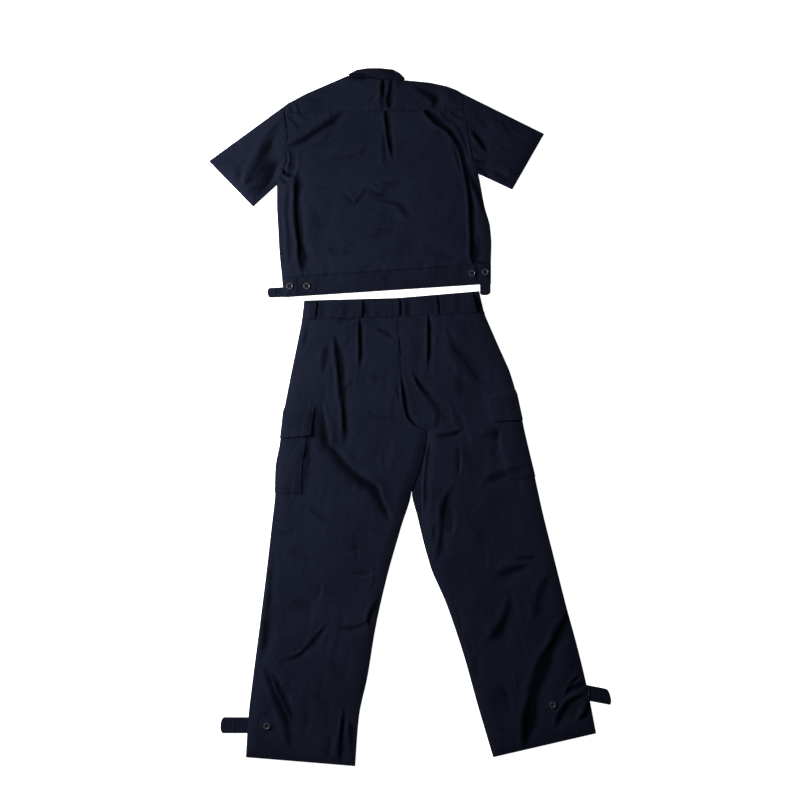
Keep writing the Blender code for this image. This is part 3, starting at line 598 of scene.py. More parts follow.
# %% [markdown]
# ## Where the seams run
# A sewn seam is two plies turned under, so it sinks a little between them and its thread
# draws the cloth up in short ripples. The seams are lines through the same tables.

# %% Seams
body_rows = np.linspace(BAND_SEAM, SHOULDER, 37)
sleeve_part = body_rows[body_rows >= UNDERARM]
BLOUSE_SEAMS = [body(side, sleeve_part) for side in (0, 1)]
BLOUSE_SEAMS += [body(np.linspace(0, 1, 9), row) for row in (YOKE_SEAM, BAND_SEAM)]
leg_rows = np.linspace(WAIST, LEG_HEM, 43)
CENTRE_BACK = half(LEFT_BACK, -1, 1, np.linspace(WAIST, CROTCH, 19))
WAIST_LINE = [LEFT_BACK[WAIST][:2], LEFT_BACK[WAIST][2:], RIGHT_BACK[WAIST][:2]]
TROUSER_SEAMS = [CENTRE_BACK, WAIST_LINE] + [
    half(table, away, 0, leg_rows) for table, away in ((LEFT_BACK, -1), (RIGHT_BACK, 1))]
print(len(BLOUSE_SEAMS) + len(TROUSER_SEAMS), "seams")


# %% Height of the upper layers
SPOT_RADIUS, SPOT_EASE = 8.0, 14.0   # the cloth is flat round a button, and eases to it
DEEPER = 1.25                        # every crease in the tables is made this much deeper
GROOVE, GROOVE_WIDE = 0.55, 3.2      # of a seam, and of the ripples beside it
RIPPLE_LONG, RIPPLE_WIDE = 7.5, 11.0


def puckered(x, y, seams):
    """The groove of each seam, and the short ripples that its stitches draw up."""
    height = np.zeros_like(x)
    for seed, line in enumerate(seams):
        off, at, _ = from_line(x, y, line)
        ripple = hills(at, off * 0.25, RIPPLE_LONG, 40 + seed) * np.exp(-(off / RIPPLE_WIDE) ** 2)
        height += GROOVE * ripple - GROOVE * np.exp(-(off / GROOVE_WIDE) ** 2)
    return height


def rolled(share):
    """Rise from 0 to 1 as cloth does beside a fold: steeply first, level at the end."""
    return 1 - (1 - np.clip(share, 0, 1)) ** 2


def upper(x, y, outline, seams, spots, creases, turn):
    """How far an upper layer stands over the lower one, its creases, and its edge's distance."""
    edge = from_line(x, y, outline)[0]
    calm = np.ones_like(x)
    for spot_x, spot_y in spots:
        calm *= smooth((np.hypot(x - spot_x, y - spot_y) - SPOT_RADIUS) / SPOT_EASE)
    folds = creased(x, y, creases)
    uneven = calm * (DEEPER * folds + slack(x, y, turn)) + puckered(x, y, seams)
    return rolled(edge / EDGE_ROLL) * np.maximum(LEAST_PUFF, PUFF + uneven), folds, edge


def blouse_upper(x, y, creases, turn=8.0):
    """The blouse's upper layer."""
    return upper(x, y, BLOUSE_OUTLINE, BLOUSE_SEAMS, BLOUSE_SPOTS, creases, turn)


def trouser_upper(x, y, creases, turn=84.0):
    """The trousers' upper layer."""
    return upper(x, y, TROUSER_OUTLINE, TROUSER_SEAMS, TROUSER_SPOTS, creases, turn)


# %% [markdown]
# ## Navy twill
# The uniform is cotton and polyester twill: fine ribs that climb from lower left to
# upper right, about one a millimetre. A wave texture turned to that slope gives the
# ribs, a second one across it breaks them into floats, and noise makes the yarns uneven.
# They read each piece's own cut, laid out in metres, so that the ribs follow the cloth
# round a fold. In the troughs of creases the colour is darkened by a painted shade, and
# the edges are paler, partly as rubbed wear and partly as a painted highlight.

# %% Shader nodes
RIB = 0.0011           # from one rib to the next, in metres
RIB_TURN = math.radians(27)


def wave_scale(period):
    """The scale at which a wave texture repeats once in each period."""
    return 2 * math.pi / (20 * period)


def add_node(tree, kind, **settings):
    """Add a shader node; a setting is a property, or an input when it has that name."""
    node = tree.nodes.new(kind)
    for key, value in settings.items():
        if key in node.inputs:
            node.inputs[key].default_value = value
        else:
            setattr(node, key, value)
    return node


def add_up(tree, source, factor, more):
    """Add a factor of one output to another output."""
    node = add_node(tree, "ShaderNodeMath", operation="MULTIPLY_ADD")
    tree.links.new(source, node.inputs[0])
    node.inputs[1].default_value = factor
    tree.links.new(more, node.inputs[2])
    return node.outputs[0]


def tinted(tree, under, attribute, colour):
    """Lay a colour over another as far as one of the piece's attributes says."""
    share = add_node(tree, "ShaderNodeAttribute", attribute_name=attribute)
    over = add_node(tree, "ShaderNodeMixRGB", blend_type="MIX", Color2=(*colour, 1))
    tree.links.new(share.outputs["Fac"], over.inputs["Fac"])
    tree.links.new(under, over.inputs["Color1"])
    return over.outputs["Color"]


# %% Twill's ribs
RIB_WANDER = 0.6       # how far the ribs wander from straight
FLOAT_PERIOD = 1.7     # of the marks across the ribs, in ribs
RELIEF = 0.00035       # depth of the weave, in metres


def weave(tree, cut, shader, bump):
    """Ribs, the floats across them and uneven yarns, as a bump."""
    link = tree.links.new
    slope = add_node(tree, "ShaderNodeMapping", Rotation=(0, 0, RIB_TURN))
    link(cut, slope.inputs["Vector"])
    ribs = add_node(tree, "ShaderNodeTexWave", Scale=wave_scale(RIB), Distortion=RIB_WANDER,
                    Detail=1.0)
    floats = add_node(tree, "ShaderNodeTexWave", bands_direction="Y",
                      Scale=wave_scale(RIB * FLOAT_PERIOD), Distortion=0.8, Detail=1.0)
    for node in (ribs, floats):
        link(slope.outputs["Vector"], node.inputs["Vector"])
    yarn = add_node(tree, "ShaderNodeTexNoise", Scale=900.0, Detail=2.0)
    link(cut, yarn.inputs["Vector"])
    woven = add_up(tree, floats.outputs["Fac"], 0.35, ribs.outputs["Fac"])
    relief = add_node(tree, "ShaderNodeBump", Strength=bump, Distance=RELIEF)
    link(add_up(tree, yarn.outputs["Fac"], 0.5, woven), relief.inputs["Height"])
    link(relief.outputs["Normal"], shader.inputs["Normal"])


# %% Twill
# edges are painted paler by this factor: partly rubbed wear, partly a painted highlight
WEAR_AND_HIGHLIGHT_PALER = 2.2
# painted shade: the dark colour laid into the troughs of creases
PAINTED_CREASE_SHADE_COLOUR = (0.0006, 0.0010, 0.0030)


def twill(name, deep, pale, bump):
    """A twill of two close navies, from the piece's own cut and its two attributes."""
    material, shader = plain_material(name, deep, 0.82)
    tree, link = material.node_tree, material.node_tree.links.new
    cut = add_node(tree, "ShaderNodeUVMap", uv_map="cut").outputs["UV"]
    weave(tree, cut, shader, bump)
    shade = add_node(tree, "ShaderNodeTexNoise", Scale=7.0, Detail=4.0, Roughness=0.6)
    lint = add_node(tree, "ShaderNodeTexNoise", Scale=160.0, Detail=3.0)
    for node in (shade, lint):
        link(cut, node.inputs["Vector"])
    colour = add_node(tree, "ShaderNodeValToRGB")
    for stop, place, shown in zip(colour.color_ramp.elements, (0.55, 1.0), (deep, pale)):
        stop.position = place
        stop.color = (*shown, 1)
    link(add_up(tree, shade.outputs["Fac"], 0.9, lint.outputs["Fac"]), colour.inputs["Fac"])
    # paler edges (rubbed wear and a painted highlight), then painted shade in the crease troughs
    wear_and_highlight = tinted(tree, colour.outputs["Color"], "wear_and_highlight", [WEAR_AND_HIGHLIGHT_PALER * c for c in pale])
    link(tinted(tree, wear_and_highlight, "painted_crease_shade", PAINTED_CREASE_SHADE_COLOUR), shader.inputs["Base Color"])
    matt = add_node(tree, "ShaderNodeMapRange")
    matt.inputs["To Min"].default_value = 0.76
    matt.inputs["To Max"].default_value = 0.92
    link(lint.outputs["Fac"], matt.inputs["Value"])
    link(matt.outputs["Result"], shader.inputs["Roughness"])
    shader.inputs["Specular IOR Level"].default_value = 0.03
    shader.inputs["Sheen Weight"].default_value = 0.006
    shader.inputs["Sheen Roughness"].default_value = 0.45
    shader.inputs["Sheen Tint"].default_value = (0.55, 0.62, 0.9, 1.0)
    return material


TWILL = twill("navy_twill", (0.0026, 0.0035, 0.0083), (0.0054, 0.0068, 0.0142), 0.6)
TRIM = twill("navy_twill_doubled", (0.0023, 0.0031, 0.0075), (0.0048, 0.0061, 0.0128), 0.6)
print("finishes", TWILL.name, TRIM.name)


# %% [markdown]
# ## Cutting a sheet
# A piece of cloth is a grid of places on its outer face. The grid becomes a mesh, the
# Solidify modifier gives it the thickness of the twill on its inner side, and a very
# small bevel takes the sharpness off its cut edges. Its cut in metres is kept as a UV
# map, turned to the grain, and two attributes say, for the twill to read, where its
# colour gets a painted shade in the troughs of creases and where its edges are painted
# paler, partly as rubbed wear and partly as a painted highlight. Each sheet also hides
# the CAD node that it stands for.

# %% Cloth from a grid
EDGE_ROUND, RIM_ANGLE = 0.28, 55
FULL_SHADE_DEPTH = 3.4     # a crease this deep gets the full painted shade
WEAR_AND_HIGHLIGHT_STRENGTH, WEAR_AND_HIGHLIGHT_WIDE = 0.16, 3.0     # how much paler an edge is painted, partly rubbed wear and partly a painted highlight, and how far in
LAID = []              # every sheet, with its flat size and its area


def new_object(name, mesh):
    """Put a mesh in the scene under its name."""
    obj = bpy.data.objects.new(name, mesh)
    bpy.context.scene.collection.objects.link(obj)
    return obj


def apply_all(obj):
    """Apply an object's modifiers from the top down."""
    bpy.context.view_layer.objects.active = obj
    for modifier in list(obj.modifiers):
        bpy.ops.object.modifier_apply(modifier=modifier.name)


def sheet_mesh(name, grid, keep, grain, painted_crease_shade, wear_and_highlight):
    """The outer face as a mesh: its first cell faces up, and its rows turn with the cloth."""
    rows, columns = grid.shape[:2]
    number = np.arange(rows * columns).reshape(rows, columns)
    faces = np.stack([number[:-1, :-1], number[:-1, 1:], number[1:, 1:], number[1:, :-1]], -1)
    ahead, across = grid[1, 0] - grid[0, 0], grid[0, 1] - grid[0, 0]
    if np.cross(across, ahead)[2] < 0:
        faces = faces[..., ::-1]
    faces = faces[keep] if keep is not None else faces.reshape(-1, 4)
    used, faces = np.unique(faces, return_inverse=True)
    faces = faces.reshape(-1, 4)
    places = grid.reshape(-1, 3)[used]
    mesh = bpy.data.meshes.new(name)
    mesh.from_pydata((places * MM).tolist(), [], faces.tolist())
    c, s = math.cos(math.radians(grain)), math.sin(math.radians(grain))
    x, y = places[:, 0], places[:, 1]
    cut = np.stack([x * c + y * s, y * c - x * s], -1) * MM
    layer = mesh.uv_layers.new(name="cut")
    layer.data.foreach_set("uv", cut[faces].ravel())
    # two attributes for painted colour: painted shade in crease troughs, and paler edges from
    # wear and a painted highlight
    for key, values in (("painted_crease_shade", painted_crease_shade), ("wear_and_highlight", wear_and_highlight)):
        attribute = mesh.attributes.new(key, "FLOAT", "POINT")
        values = np.zeros(rows * columns) if values is None else values.ravel()
        attribute.data.foreach_set("value", values[used])
    return mesh


def cloth(name, grid, node, flat=None, area=None, thickness=CLOTH, finish=TWILL, keep=None,
          grain=0.0, painted_crease_shade=None, wear_and_highlight=None):
    """A sheet of cloth that stands for a CAD node, with its flat size in millimetres."""
    obj = new_object(name, sheet_mesh(name, grid, keep, grain, painted_crease_shade, wear_and_highlight))
    shell = obj.modifiers.new("Thickness", "SOLIDIFY")
    shell.thickness = thickness * MM
    shell.offset = -1.0
    rim = obj.modifiers.new("Rim", "BEVEL")
    rim.width = EDGE_ROUND * MM
    rim.segments = 2
    rim.limit_method = "ANGLE"
    rim.angle_limit = math.radians(RIM_ANGLE)
    apply_all(obj)
    obj.data.shade_smooth()
    obj.data.materials.append(finish)
    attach(obj, "root")
    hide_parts(node)
    flat = flat or np.ptp(grid.reshape(-1, 3), axis=0)[:2]
    LAID.append((obj, flat, area or plan_area(grid, keep)))
    print(f"{name}: {sum(len(p.vertices) - 2 for p in obj.data.polygons)} triangles,",
          f"cut from {flat[0]:.0f} x {flat[1]:.0f} mm")
    return obj


def plan_area(grid, keep=None):
    """The area of a grid's cells, in square millimetres."""
    along, across = grid[1:, :-1] - grid[:-1, :-1], grid[:-1, 1:] - grid[:-1, :-1]
    cells = np.linalg.norm(np.cross(across, along), axis=-1)
    return float((cells[keep] if keep is not None else cells).sum())


def counted(length, cell=WEAVE):
    """How many points a stretch needs at the size of a mesh cell."""
    return max(3, int(length / cell) + 1)


def with_height(plan, z):
    """Give a plan of points its heights."""
    return np.concatenate([plan, np.broadcast_to(z, plan.shape[:2])[..., None]], -1)


def crease_shade_share(folds):
    """How much painted shade each place gets from how deep it lies in a crease, from 0 to 1."""
    return smooth(-folds / FULL_SHADE_DEPTH)


def wear_and_highlight_at(edge):
    """How much paler each place is painted near an edge: partly rubbed wear, partly a painted
    highlight.
    """
    return WEAR_AND_HIGHLIGHT_STRENGTH * np.exp(-(edge / WEAR_AND_HIGHLIGHT_WIDE) ** 2)


# %% [markdown]
# ## The blouse's back
# The back runs from the hem band to the yoke, with a pleat in its middle and one at each
# side. Its grid takes its plan from the body's table and its height from the creases.

# %% Blouse back
BODY_WIDTH = 480.0


def body_plan(first, last, cell=WEAVE, low=0.0, high=1.0):
    """A grid of places on the body between two rows and two shares across."""
    tall = float(np.linalg.norm(body(0.5, last) - body(0.5, first)))
    along = np.linspace(low, high, counted(BODY_WIDTH * (high - low), cell))
    rows = np.linspace(first, last, counted(tall, cell))
    return body(*np.meshgrid(along, rows))


def upper_panel(name, node, plan, surface, creases, under=PLY, **options):
    """A panel of the upper layer: its heights, the painted shade in its creases and its paler
    edges (rubbed wear and a painted highlight), from a surface.
    """
    thickness = options.get("thickness", CLOTH)
    stand, folds, edge = surface(plan[..., 0], plan[..., 1], creases)
    grid = with_height(plan, thickness + under + stand)
    return cloth(name, grid, node, painted_crease_shade=crease_shade_share(folds), wear_and_highlight=wear_and_highlight_at(edge), **options)


plan = body_plan(BAND_SEAM, YOKE_SEAM)
plan[0] += (0, GAP)
plan[-1] -= (0, GAP)
blouse_back = upper_panel("blouse_back", "shirt_back", plan, blouse_upper, BACK_CREASES)

# %% [markdown]
# ## Folding a piece over an edge
# The yoke, the sleeves and the collar go over an edge and lie on the table again below.
# Their grids run over the top, round half a turn at the fold and back along the table.

# %% A grid folded over an edge
FOLD_STEPS = 7         # rows round a fold
FOLD_ROOM = 0.7        # the share of the next row's distance that a fold may take


def over_and_under(over, heights, under):
    """Rows on the upper layer that end on a fold, the fold, and rows on the table."""
    top = with_height(over, heights)
    crease, last = over[-1], heights[-1]
    inward = over[-2] - crease
    spacing = np.linalg.norm(inward, axis=-1)
    inward /= spacing[:, None]
    room = FOLD_ROOM * np.minimum(spacing, np.linalg.norm(under[1] - crease, axis=-1))
    radius = last / 2
    rows = [top[:-1]]
    for angle in np.radians(np.linspace(90, -90, FOLD_STEPS)):
        back = np.minimum(radius, room) * (1 - math.cos(angle))
        rows.append(with_height((crease + inward * back[:, None])[None],
                                (radius * (1 + math.sin(angle)))[None]))
    rows.append(with_height(under[1:], 0.0))
    return np.concatenate(rows)


def folded_piece(name, node, over, under, creases, turn=0.0, **options):
    """A piece of the blouse's upper layer that carries on under itself on the table."""
    stand, folds, edge = blouse_upper(over[..., 0], over[..., 1], creases, turn)
    grid = over_and_under(over, CLOTH + PLY + stand, under)
    below = np.zeros((len(grid) - len(over), over.shape[1]))
    # painted shade in the creases on top, and paler edges from wear and a painted highlight
    return cloth(name, grid, node, painted_crease_shade=np.concatenate([crease_shade_share(folds), below]),
                 wear_and_highlight=np.concatenate([wear_and_highlight_at(edge), below]), **options)


# %% Yoke
YOKE_LONG, YOKE_DEEP = 430, 62
yoke_along = np.linspace(0, 1, counted(YOKE_LONG))
yoke_along = np.unique(np.concatenate([yoke_along, (NECK_LEFT, NECK_RIGHT)]))
yoke_rise = np.linspace(0, 1, counted(YOKE_DEEP))


def yoke_over(along, k):
    """Places on the yoke's back, k of the way from its seam to the shoulder fold."""
    return raised(body(along, YOKE_SEAM + k), k * rise(SHOULDER_LINE, along))


def yoke_under(along, k):
    """Places on the yoke's front, k of the way from its seam to the shoulder fold."""
    lift = k * rise(SHOULDER_LINE, along) + (1 - k) * rise(FRONT_TOP, along)
    return raised(body(along, YOKE_SEAM + k), lift + (GAP + STAGGER) * (1 - k))


over = yoke_over(*np.meshgrid(yoke_along, yoke_rise))
over[0] += (0, GAP)
under = yoke_under(*np.meshgrid(yoke_along, yoke_rise[::-1]))
rows = len(over) + FOLD_STEPS - 1 + len(under) - 1
middles = (yoke_along[:-1] + yoke_along[1:]) / 2
in_neck = (middles > NECK_LEFT) & (middles < NECK_RIGHT)
keep = ~((np.arange(rows - 1) >= len(over) - 1)[:, None] & in_neck[None])
yoke = folded_piece("blouse_yoke", "shirt_yoke", over, under, YOKE_CREASES, keep=keep)

# %% [markdown]
# ## Sleeves
# A sleeve is one piece of cloth round the arm with its seam underneath. Laid down it is a
# flat tube, so its grid goes over the top, round the upper fold and back below. Its seam
# at the armhole is staggered below, as all the lower seams are, so that no gap shows.

# %% Sleeves
SLEEVE_HIGH, SLEEVE_LONG = 190, 175
CUT_WIDER, CUT_LONGER = 1.2, 1.1     # the flat cut's rectangle, over the sleeve as it lies
sleeve_rows = np.linspace(UNDERARM, SHOULDER, counted(SLEEVE_HIGH))


def sleeve_plan(side, cuff, away):
    """Places on a sleeve: rows up the armhole, columns out to the cuff."""
    hole = body(side, sleeve_rows)
    share = (hole[:, 1] - hole[0, 1]) / (hole[-1, 1] - hole[0, 1])
    end = mix(cuff[0], cuff[1], share)
    steps = np.linspace(0, 1, counted(SLEEVE_LONG))
    start = hole + np.array([away * GAP, 0.0])
    return start[:, None] + (end - start)[:, None] * steps[None, :, None]


def make_sleeve(side_name, side, cuff, away):
    """One sleeve, a tube pressed flat with its fold along the top."""
    plan = sleeve_plan(side, cuff, away)
    below = plan[::-1].copy()
    below[1:, 0] -= (away * STAGGER, 0)
    top_fold = plan[-1, -1] - plan[-1, 0]
    lean = math.degrees(math.atan2(*top_fold[::-1]))
    wide = 2 * float(np.linalg.norm(plan[-1, -1] - plan[0, -1]))
    long = float(np.linalg.norm(top_fold))
    return folded_piece(f"sleeve_{side_name}_cloth", f"sleeve_{side_name}", plan, below,
                        SLEEVE_CREASES, lean, grain=lean + 90,
                        flat=(wide * CUT_WIDER, long * CUT_LONGER))


sleeve_left = make_sleeve("left", 0, LEFT_CUFF, -1)
sleeve_right = make_sleeve("right", 1, RIGHT_CUFF, 1)

# %% [markdown]
# ## Collar
# The collar stands up past the back neckline, turns over its own edge and lies under
# itself. It is a little springy, so it stands clear of the yoke where it starts.

# %% Collar
COLLAR_LONG, COLLAR_DEEP, LEAF_DEEP = 150, 28, 45
collar_along = np.linspace(COLLAR_START, COLLAR_END, counted(COLLAR_LONG))
COLLAR_CREASES = [
    Crease([(-156, 806), (-125, 806), (-90, 802)], 4, -3.4),
    Crease([(-64, 816), (-50, 810), (-34, 808)], 5, -2.8),
    Crease([(-20, 814), (-8, 806), (6, 796)], 5, -1.4),
]


def collar_places(along, k):
    """Places from the neckline out to the collar's edge."""
    return raised(shoulder(along), GAP + k * rise(COLLAR, along))


def collar_leaf(along, k):
    """Places on the leaf that lies under the neckline."""
    return raised(shoulder(along), (1 - k) * rise(COLLAR, along) - k * COLLAR_TUCK)


over = collar_places(*np.meshgrid(collar_along, np.linspace(0, 1, counted(COLLAR_DEEP))))
under = collar_leaf(*np.meshgrid(collar_along, np.linspace(0, 1, counted(LEAF_DEEP))))
collar = folded_piece("blouse_collar", "shirt_collar", over, under, COLLAR_CREASES, finish=TRIM)

# %% [markdown]
# ## The layers underneath
# The fronts lie face down on the table. Their undersides are flat where they rest, and a
# few soft creases lift them a millimetre from the table, as on the backs. Their seams run
# a little beside those of the backs, because two gaps one over the other let light through.

# %% Lower layers
CRUMPLE, CRUMPLE_SIZE = 1.3, 38.0
FLAT_EDGE, FLAT_EASE = 12.0, 25.0    # the layer is flat at its edges


def lower(plan, lift, seed, outline):
    """Heights of a panel on the table, lifted a little in places away from its edges."""
    x, y = plan[..., 0], plan[..., 1]
    edge = from_line(x, y, outline)[0]
    crumple = np.maximum(0.0, hills(x, y, CRUMPLE_SIZE, seed, 75, 2.6) - 0.35)
    return CLOTH + lift + CRUMPLE * crumple * smooth((edge - FLAT_EDGE) / FLAT_EASE)


# %% Fronts of the blouse
PLACKET_HALF = 16.0
OVER_PLACKET, PLACKET_EASE = 26.0, 7.0      # the fronts ride over the placket this far
HALVES = (("left", 0.0, 0.5), ("right", 0.5, 1.0))


def above_underarm(rows):
    """0 up to the underarm and 1 at the yoke's seam."""
    return np.maximum(0, rows - UNDERARM) / (YOKE_SEAM - UNDERARM)


def blouse_front(side_name, first, last):
    """One front of the blouse, whose closed edge rides over the placket."""
    plan = body_plan(BAND_SEAM, YOKE_SEAM, HIDDEN_WEAVE, first, last)
    rows = np.linspace(BAND_SEAM, YOKE_SEAM, plan.shape[0])[:, None]
    along = np.linspace(first, last, plan.shape[1])[None]
    plan = raised(plan, above_underarm(rows) * rise(FRONT_TOP, along))
    plan[0] -= (0, STAGGER - GAP)
    plan[-1] += (0, STAGGER)
    by_sleeve = rows[:, 0] > UNDERARM
    plan[by_sleeve, 0 if first == 0 else -1] += (STAGGER if first == 0 else -STAGGER, 0)
    if first == 0.5:
        plan[:, 0] += (GAP, 0)
    wide = np.linalg.norm(body(1, rows) - body(0, rows), axis=-1)
    lift = PLY * smooth((OVER_PLACKET - np.abs(along - 0.5) * wide) / PLACKET_EASE)
    grid = with_height(plan, lower(plan, lift, 31, BLOUSE_OUTLINE))
    cloth(f"blouse_front_{side_name}", grid, f"shirt_front_{side_name}")


for side_name, first, last in HALVES:
    blouse_front(side_name, first, last)

# %% Placket
rows = np.linspace(BAND_SEAM, YOKE_SEAM, 60)
middle = raised(body(0.5, rows), above_underarm(rows) * rise(FRONT_TOP, 0.5))
middle[0] -= (0, STAGGER - GAP)
offsets = np.linspace(-PLACKET_HALF, PLACKET_HALF, 9)
plan = middle[:, None] + np.stack([offsets, np.zeros_like(offsets)], -1)[None]
cloth("blouse_placket", with_height(plan, CLOTH), "shirt_placket", finish=TRIM)

# %% [markdown]
# ## Hem band and its tabs
# The doubled band gathers the blouse at the waist. Its back lies over its two fronts,
# and at each side a stitched tab buttons on to it, which draws the waist in.

# %% Hem band
BAND_CREASES = [
    Crease([(-266, 340), (-264, 308), (-262, 274)], 5, -1.6),
    Crease([(-222, 334), (-220, 306), (-219, 276)], 7, -1.1),
    Crease([(153, 366), (156, 338), (158, 306)], 5, -1.6),
    Crease([(118, 362), (120, 334), (121, 302)], 8, -1.0),
    Crease([(-60, 348), (-55, 322), (-52, 292)], 9, -0.9),
]
BAND_TOP = BAND_SEAM - 0.01
for side_name, first, last in HALVES:
    plan = body_plan(HEM, BAND_TOP, HIDDEN_WEAVE, first, last)
    if first == 0.5:
        plan[:, 0] += (GAP, 0)
    plan[-1] -= (0, STAGGER)
    cloth(f"blouse_band_front_{side_name}", with_height(plan, BAND),
          f"shirt_band_front_{side_name}", thickness=BAND, finish=TRIM)
band_back = upper_panel("blouse_band_back", "shirt_band_back", body_plan(HEM, BAND_TOP),
                        blouse_upper, BAND_CREASES, under=BAND + GAP, thickness=BAND,
                        finish=TRIM)

# %% [markdown]
# ## Straps
# A tab or strap is a doubled strip whose root follows the curve of the edge it is sewn
# to and whose end is rounded. Pulled tight by its button it gathers, so small creases
# cross it. One function makes all four, from a stretch of an edge and a reach.

# %% Straps
STRAP_TIP = 9.0        # the rounded end's length
STRAP_BEND = 14.0      # a strap loses the curve of its edge over this length
STRAP_WEAVE = 1.2
STRAP_ROLL = 3.5       # its rim comes down over this distance
DEEPEST = 0.9          # the most that a gather sinks into it
TOUCH = 0.01           # between a strap and its edge
EDGE_STEPS = 13
GATHER = 0.5           # how far the gathers stand out
LEAST_WIDTH = 10.5     # the narrowest flat size that a sheet is given


def strap(name, node, edge, reach, gathers, seed):
    """A doubled strap from a stretch of an edge, with a rounded end."""
    edge, reach = np.array(edge, float), np.array(reach, float)
    root = edge[[0, -1]]
    length, width = np.linalg.norm(reach), np.linalg.norm(root[1] - root[0])
    out = np.linspace(0, 1, counted(length, STRAP_WEAVE))
    tip = np.clip((out * length - (length - STRAP_TIP)) / STRAP_TIP, 0, 1)
    narrow = np.sqrt(np.maximum(0.12, 1 - tip ** 3))
    across = np.linspace(-0.5, 0.5, counted(width, STRAP_WEAVE))
    middle = (root[0] + root[1]) / 2 + out[:, None] * reach
    plan = middle[:, None] + (narrow[:, None] * across[None])[..., None] * (root[1] - root[0])
    share = np.linspace(0, 1, len(edge))
    curve = edge - mix(root[0], root[1], share)
    bend = np.stack([np.interp(across + 0.5, share, curve[:, i]) for i in (0, 1)], -1)
    plan += (1 - smooth(out * length / STRAP_BEND))[:, None, None] * bend[None]
    z = GATHER * creased(plan[..., 0], plan[..., 1], gathers)
    z += 0.25 * hills(plan[..., 0], plan[..., 1], 9, seed)
    rim = np.minimum((0.5 - np.abs(across))[None] * width * narrow[:, None],
                     ((1 - out) * length)[:, None])
    z += 0.5 * rolled(rim / STRAP_ROLL) - 0.3 - z.max()
    # its rim painted paler, partly rubbed wear and partly a painted highlight
    cloth(name, with_height(plan, STRAP + np.maximum(z, -DEEPEST)), node,
          thickness=STRAP - DEEPEST, finish=TRIM, wear_and_highlight=wear_and_highlight_at(rim),
          flat=(max(width, LEAST_WIDTH), length), area=plan_area(with_height(plan, 0)))


left_root = body(0, np.linspace(0.02, 0.56, EDGE_STEPS)) - (TOUCH, 0)
strap("waist_tab_left", "shirt_tab_left", left_root, (-37, -2),
      [Crease([(-312, 316), (-314, 274)], 3, -2.6)], 61)
right_root = body(np.linspace(0.947, 0.998, EDGE_STEPS), HEM) - (0, TOUCH)
strap("waist_tab_right", "shirt_tab_right", right_root, (0, -26),
      [Crease([(158, 300), (192, 301)], 3, -2.0)], 62)


# %% [markdown]
# ## Trouser legs
# Every leg is a back over a front, joined at the outseam and the inseam. A cargo pocket
# and its flap wrap each outseam, so they raise the front above them by their thickness.

# %% Down the outseams
LIFT_EASE = 8.0        # the layers come down beside a pocket over this distance
CLOSER = 0.12          # how much closer to each other the fronts lie than the backs


FINE_ROWS = np.linspace(WAIST, LEG_HEM, 281)


def run_of(table):
    """A lookup from row to distance down a half's outseam."""
    steps = np.linalg.norm(np.diff(row_at(table, FINE_ROWS)[:, :2], axis=0), axis=1)
    distance = np.concatenate([[0], np.cumsum(steps)])
    return lambda s: np.interp(s, FINE_ROWS, distance)


def eased(past):
    """1 inside an edge, easing to 0 outside it, from the distance inside."""
    return smooth(past / LIFT_EASE + 1)


def lifted(run, distance, s):
    """How far the pocket and its flap raise the layers over them."""
    parts = [eased(run(s) - run(first)) * eased(run(last) - run(s)) * eased(width - distance)
             for first, last, width in ((FLAP_TOP, FLAP_BOTTOM, FLAP_WIDTH),
                                        (POCKET_TOP, POCKET_BOTTOM, POCKET_WIDTH))]
    return PLY * (parts[0] + parts[1])


Leg = namedtuple("Leg", "side table away front_table creases grain run")


def front_table(table, inner):
    """A half's table with its front's inner edge."""
    return [(*row[:2], *inner.get(i, row[2:])) for i, row in enumerate(table)]


LEGS = [Leg("left", LEFT_BACK, -1, front_table(LEFT_BACK, LEFT_INNER), LEFT_CREASES, -8.0,
            run_of(LEFT_BACK)),
        Leg("right", RIGHT_BACK, 1, front_table(RIGHT_BACK, RIGHT_INNER), RIGHT_CREASES, 12.0,
            run_of(RIGHT_BACK))]


def rows_at(leg, distance):
    """The rows at distances down a leg's outseam."""
    return np.interp(distance, leg.run(FINE_ROWS), FINE_ROWS)


# %% Grids of the legs
LEG_WEAVE = 3.0
LEG_WIDEST, LEG_LONGEST = 335, 1060


def leg_plan(leg, table, cell):
    """A grid over a whole half, with the distance of each place from the outseam."""
    rows = rows_at(leg, np.linspace(0, leg.run(LEG_HEM), counted(LEG_LONGEST, cell)))
    share, s = np.meshgrid(np.linspace(0, 1, counted(LEG_WIDEST, cell)), rows)
    plan = half(table, leg.away, share, s)
    distance = share * np.linalg.norm(plan[:, -1] - plan[:, 0], axis=-1)[:, None]
    return plan, distance, s


def back_top(leg, plan, distance, s):
    """The outer face of a leg's back, its folds and its distance to an edge."""
    stand, folds, edge = trouser_upper(plan[..., 0], plan[..., 1], leg.creases, 90 + leg.grain)
    return CLOTH + PLY + lifted(leg.run, distance, s) + stand, folds, edge


def make_leg(leg):
    """The back and the front of one leg."""
    plan, distance, s = leg_plan(leg, leg.table, LEG_WEAVE)
    top, folds, edge = back_top(leg, plan, distance, s)
    # painted shade in the creases of the back, and paler edges from wear and a painted highlight
    back = cloth(f"leg_back_{leg.side}", with_height(plan, top), f"trouser_back_{leg.side}",
                 grain=leg.grain, painted_crease_shade=crease_shade_share(folds), wear_and_highlight=wear_and_highlight_at(edge))
    plan, distance, s = leg_plan(leg, leg.front_table, HIDDEN_WEAVE)
    plan[:, -1, 0] -= STAGGER * smooth(POCKET_BOTTOM - s[:, 0]) + leg.away * CLOSER
    plan[0] += (0, STAGGER)
    lift = lifted(leg.run, distance, s)
    grid = with_height(plan, lower(plan, lift, 33, TROUSER_OUTLINE))
    front = cloth(f"leg_front_{leg.side}", grid, f"trouser_front_{leg.side}", grain=leg.grain)
    return back, front


leg_pieces = [make_leg(leg) for leg in LEGS]

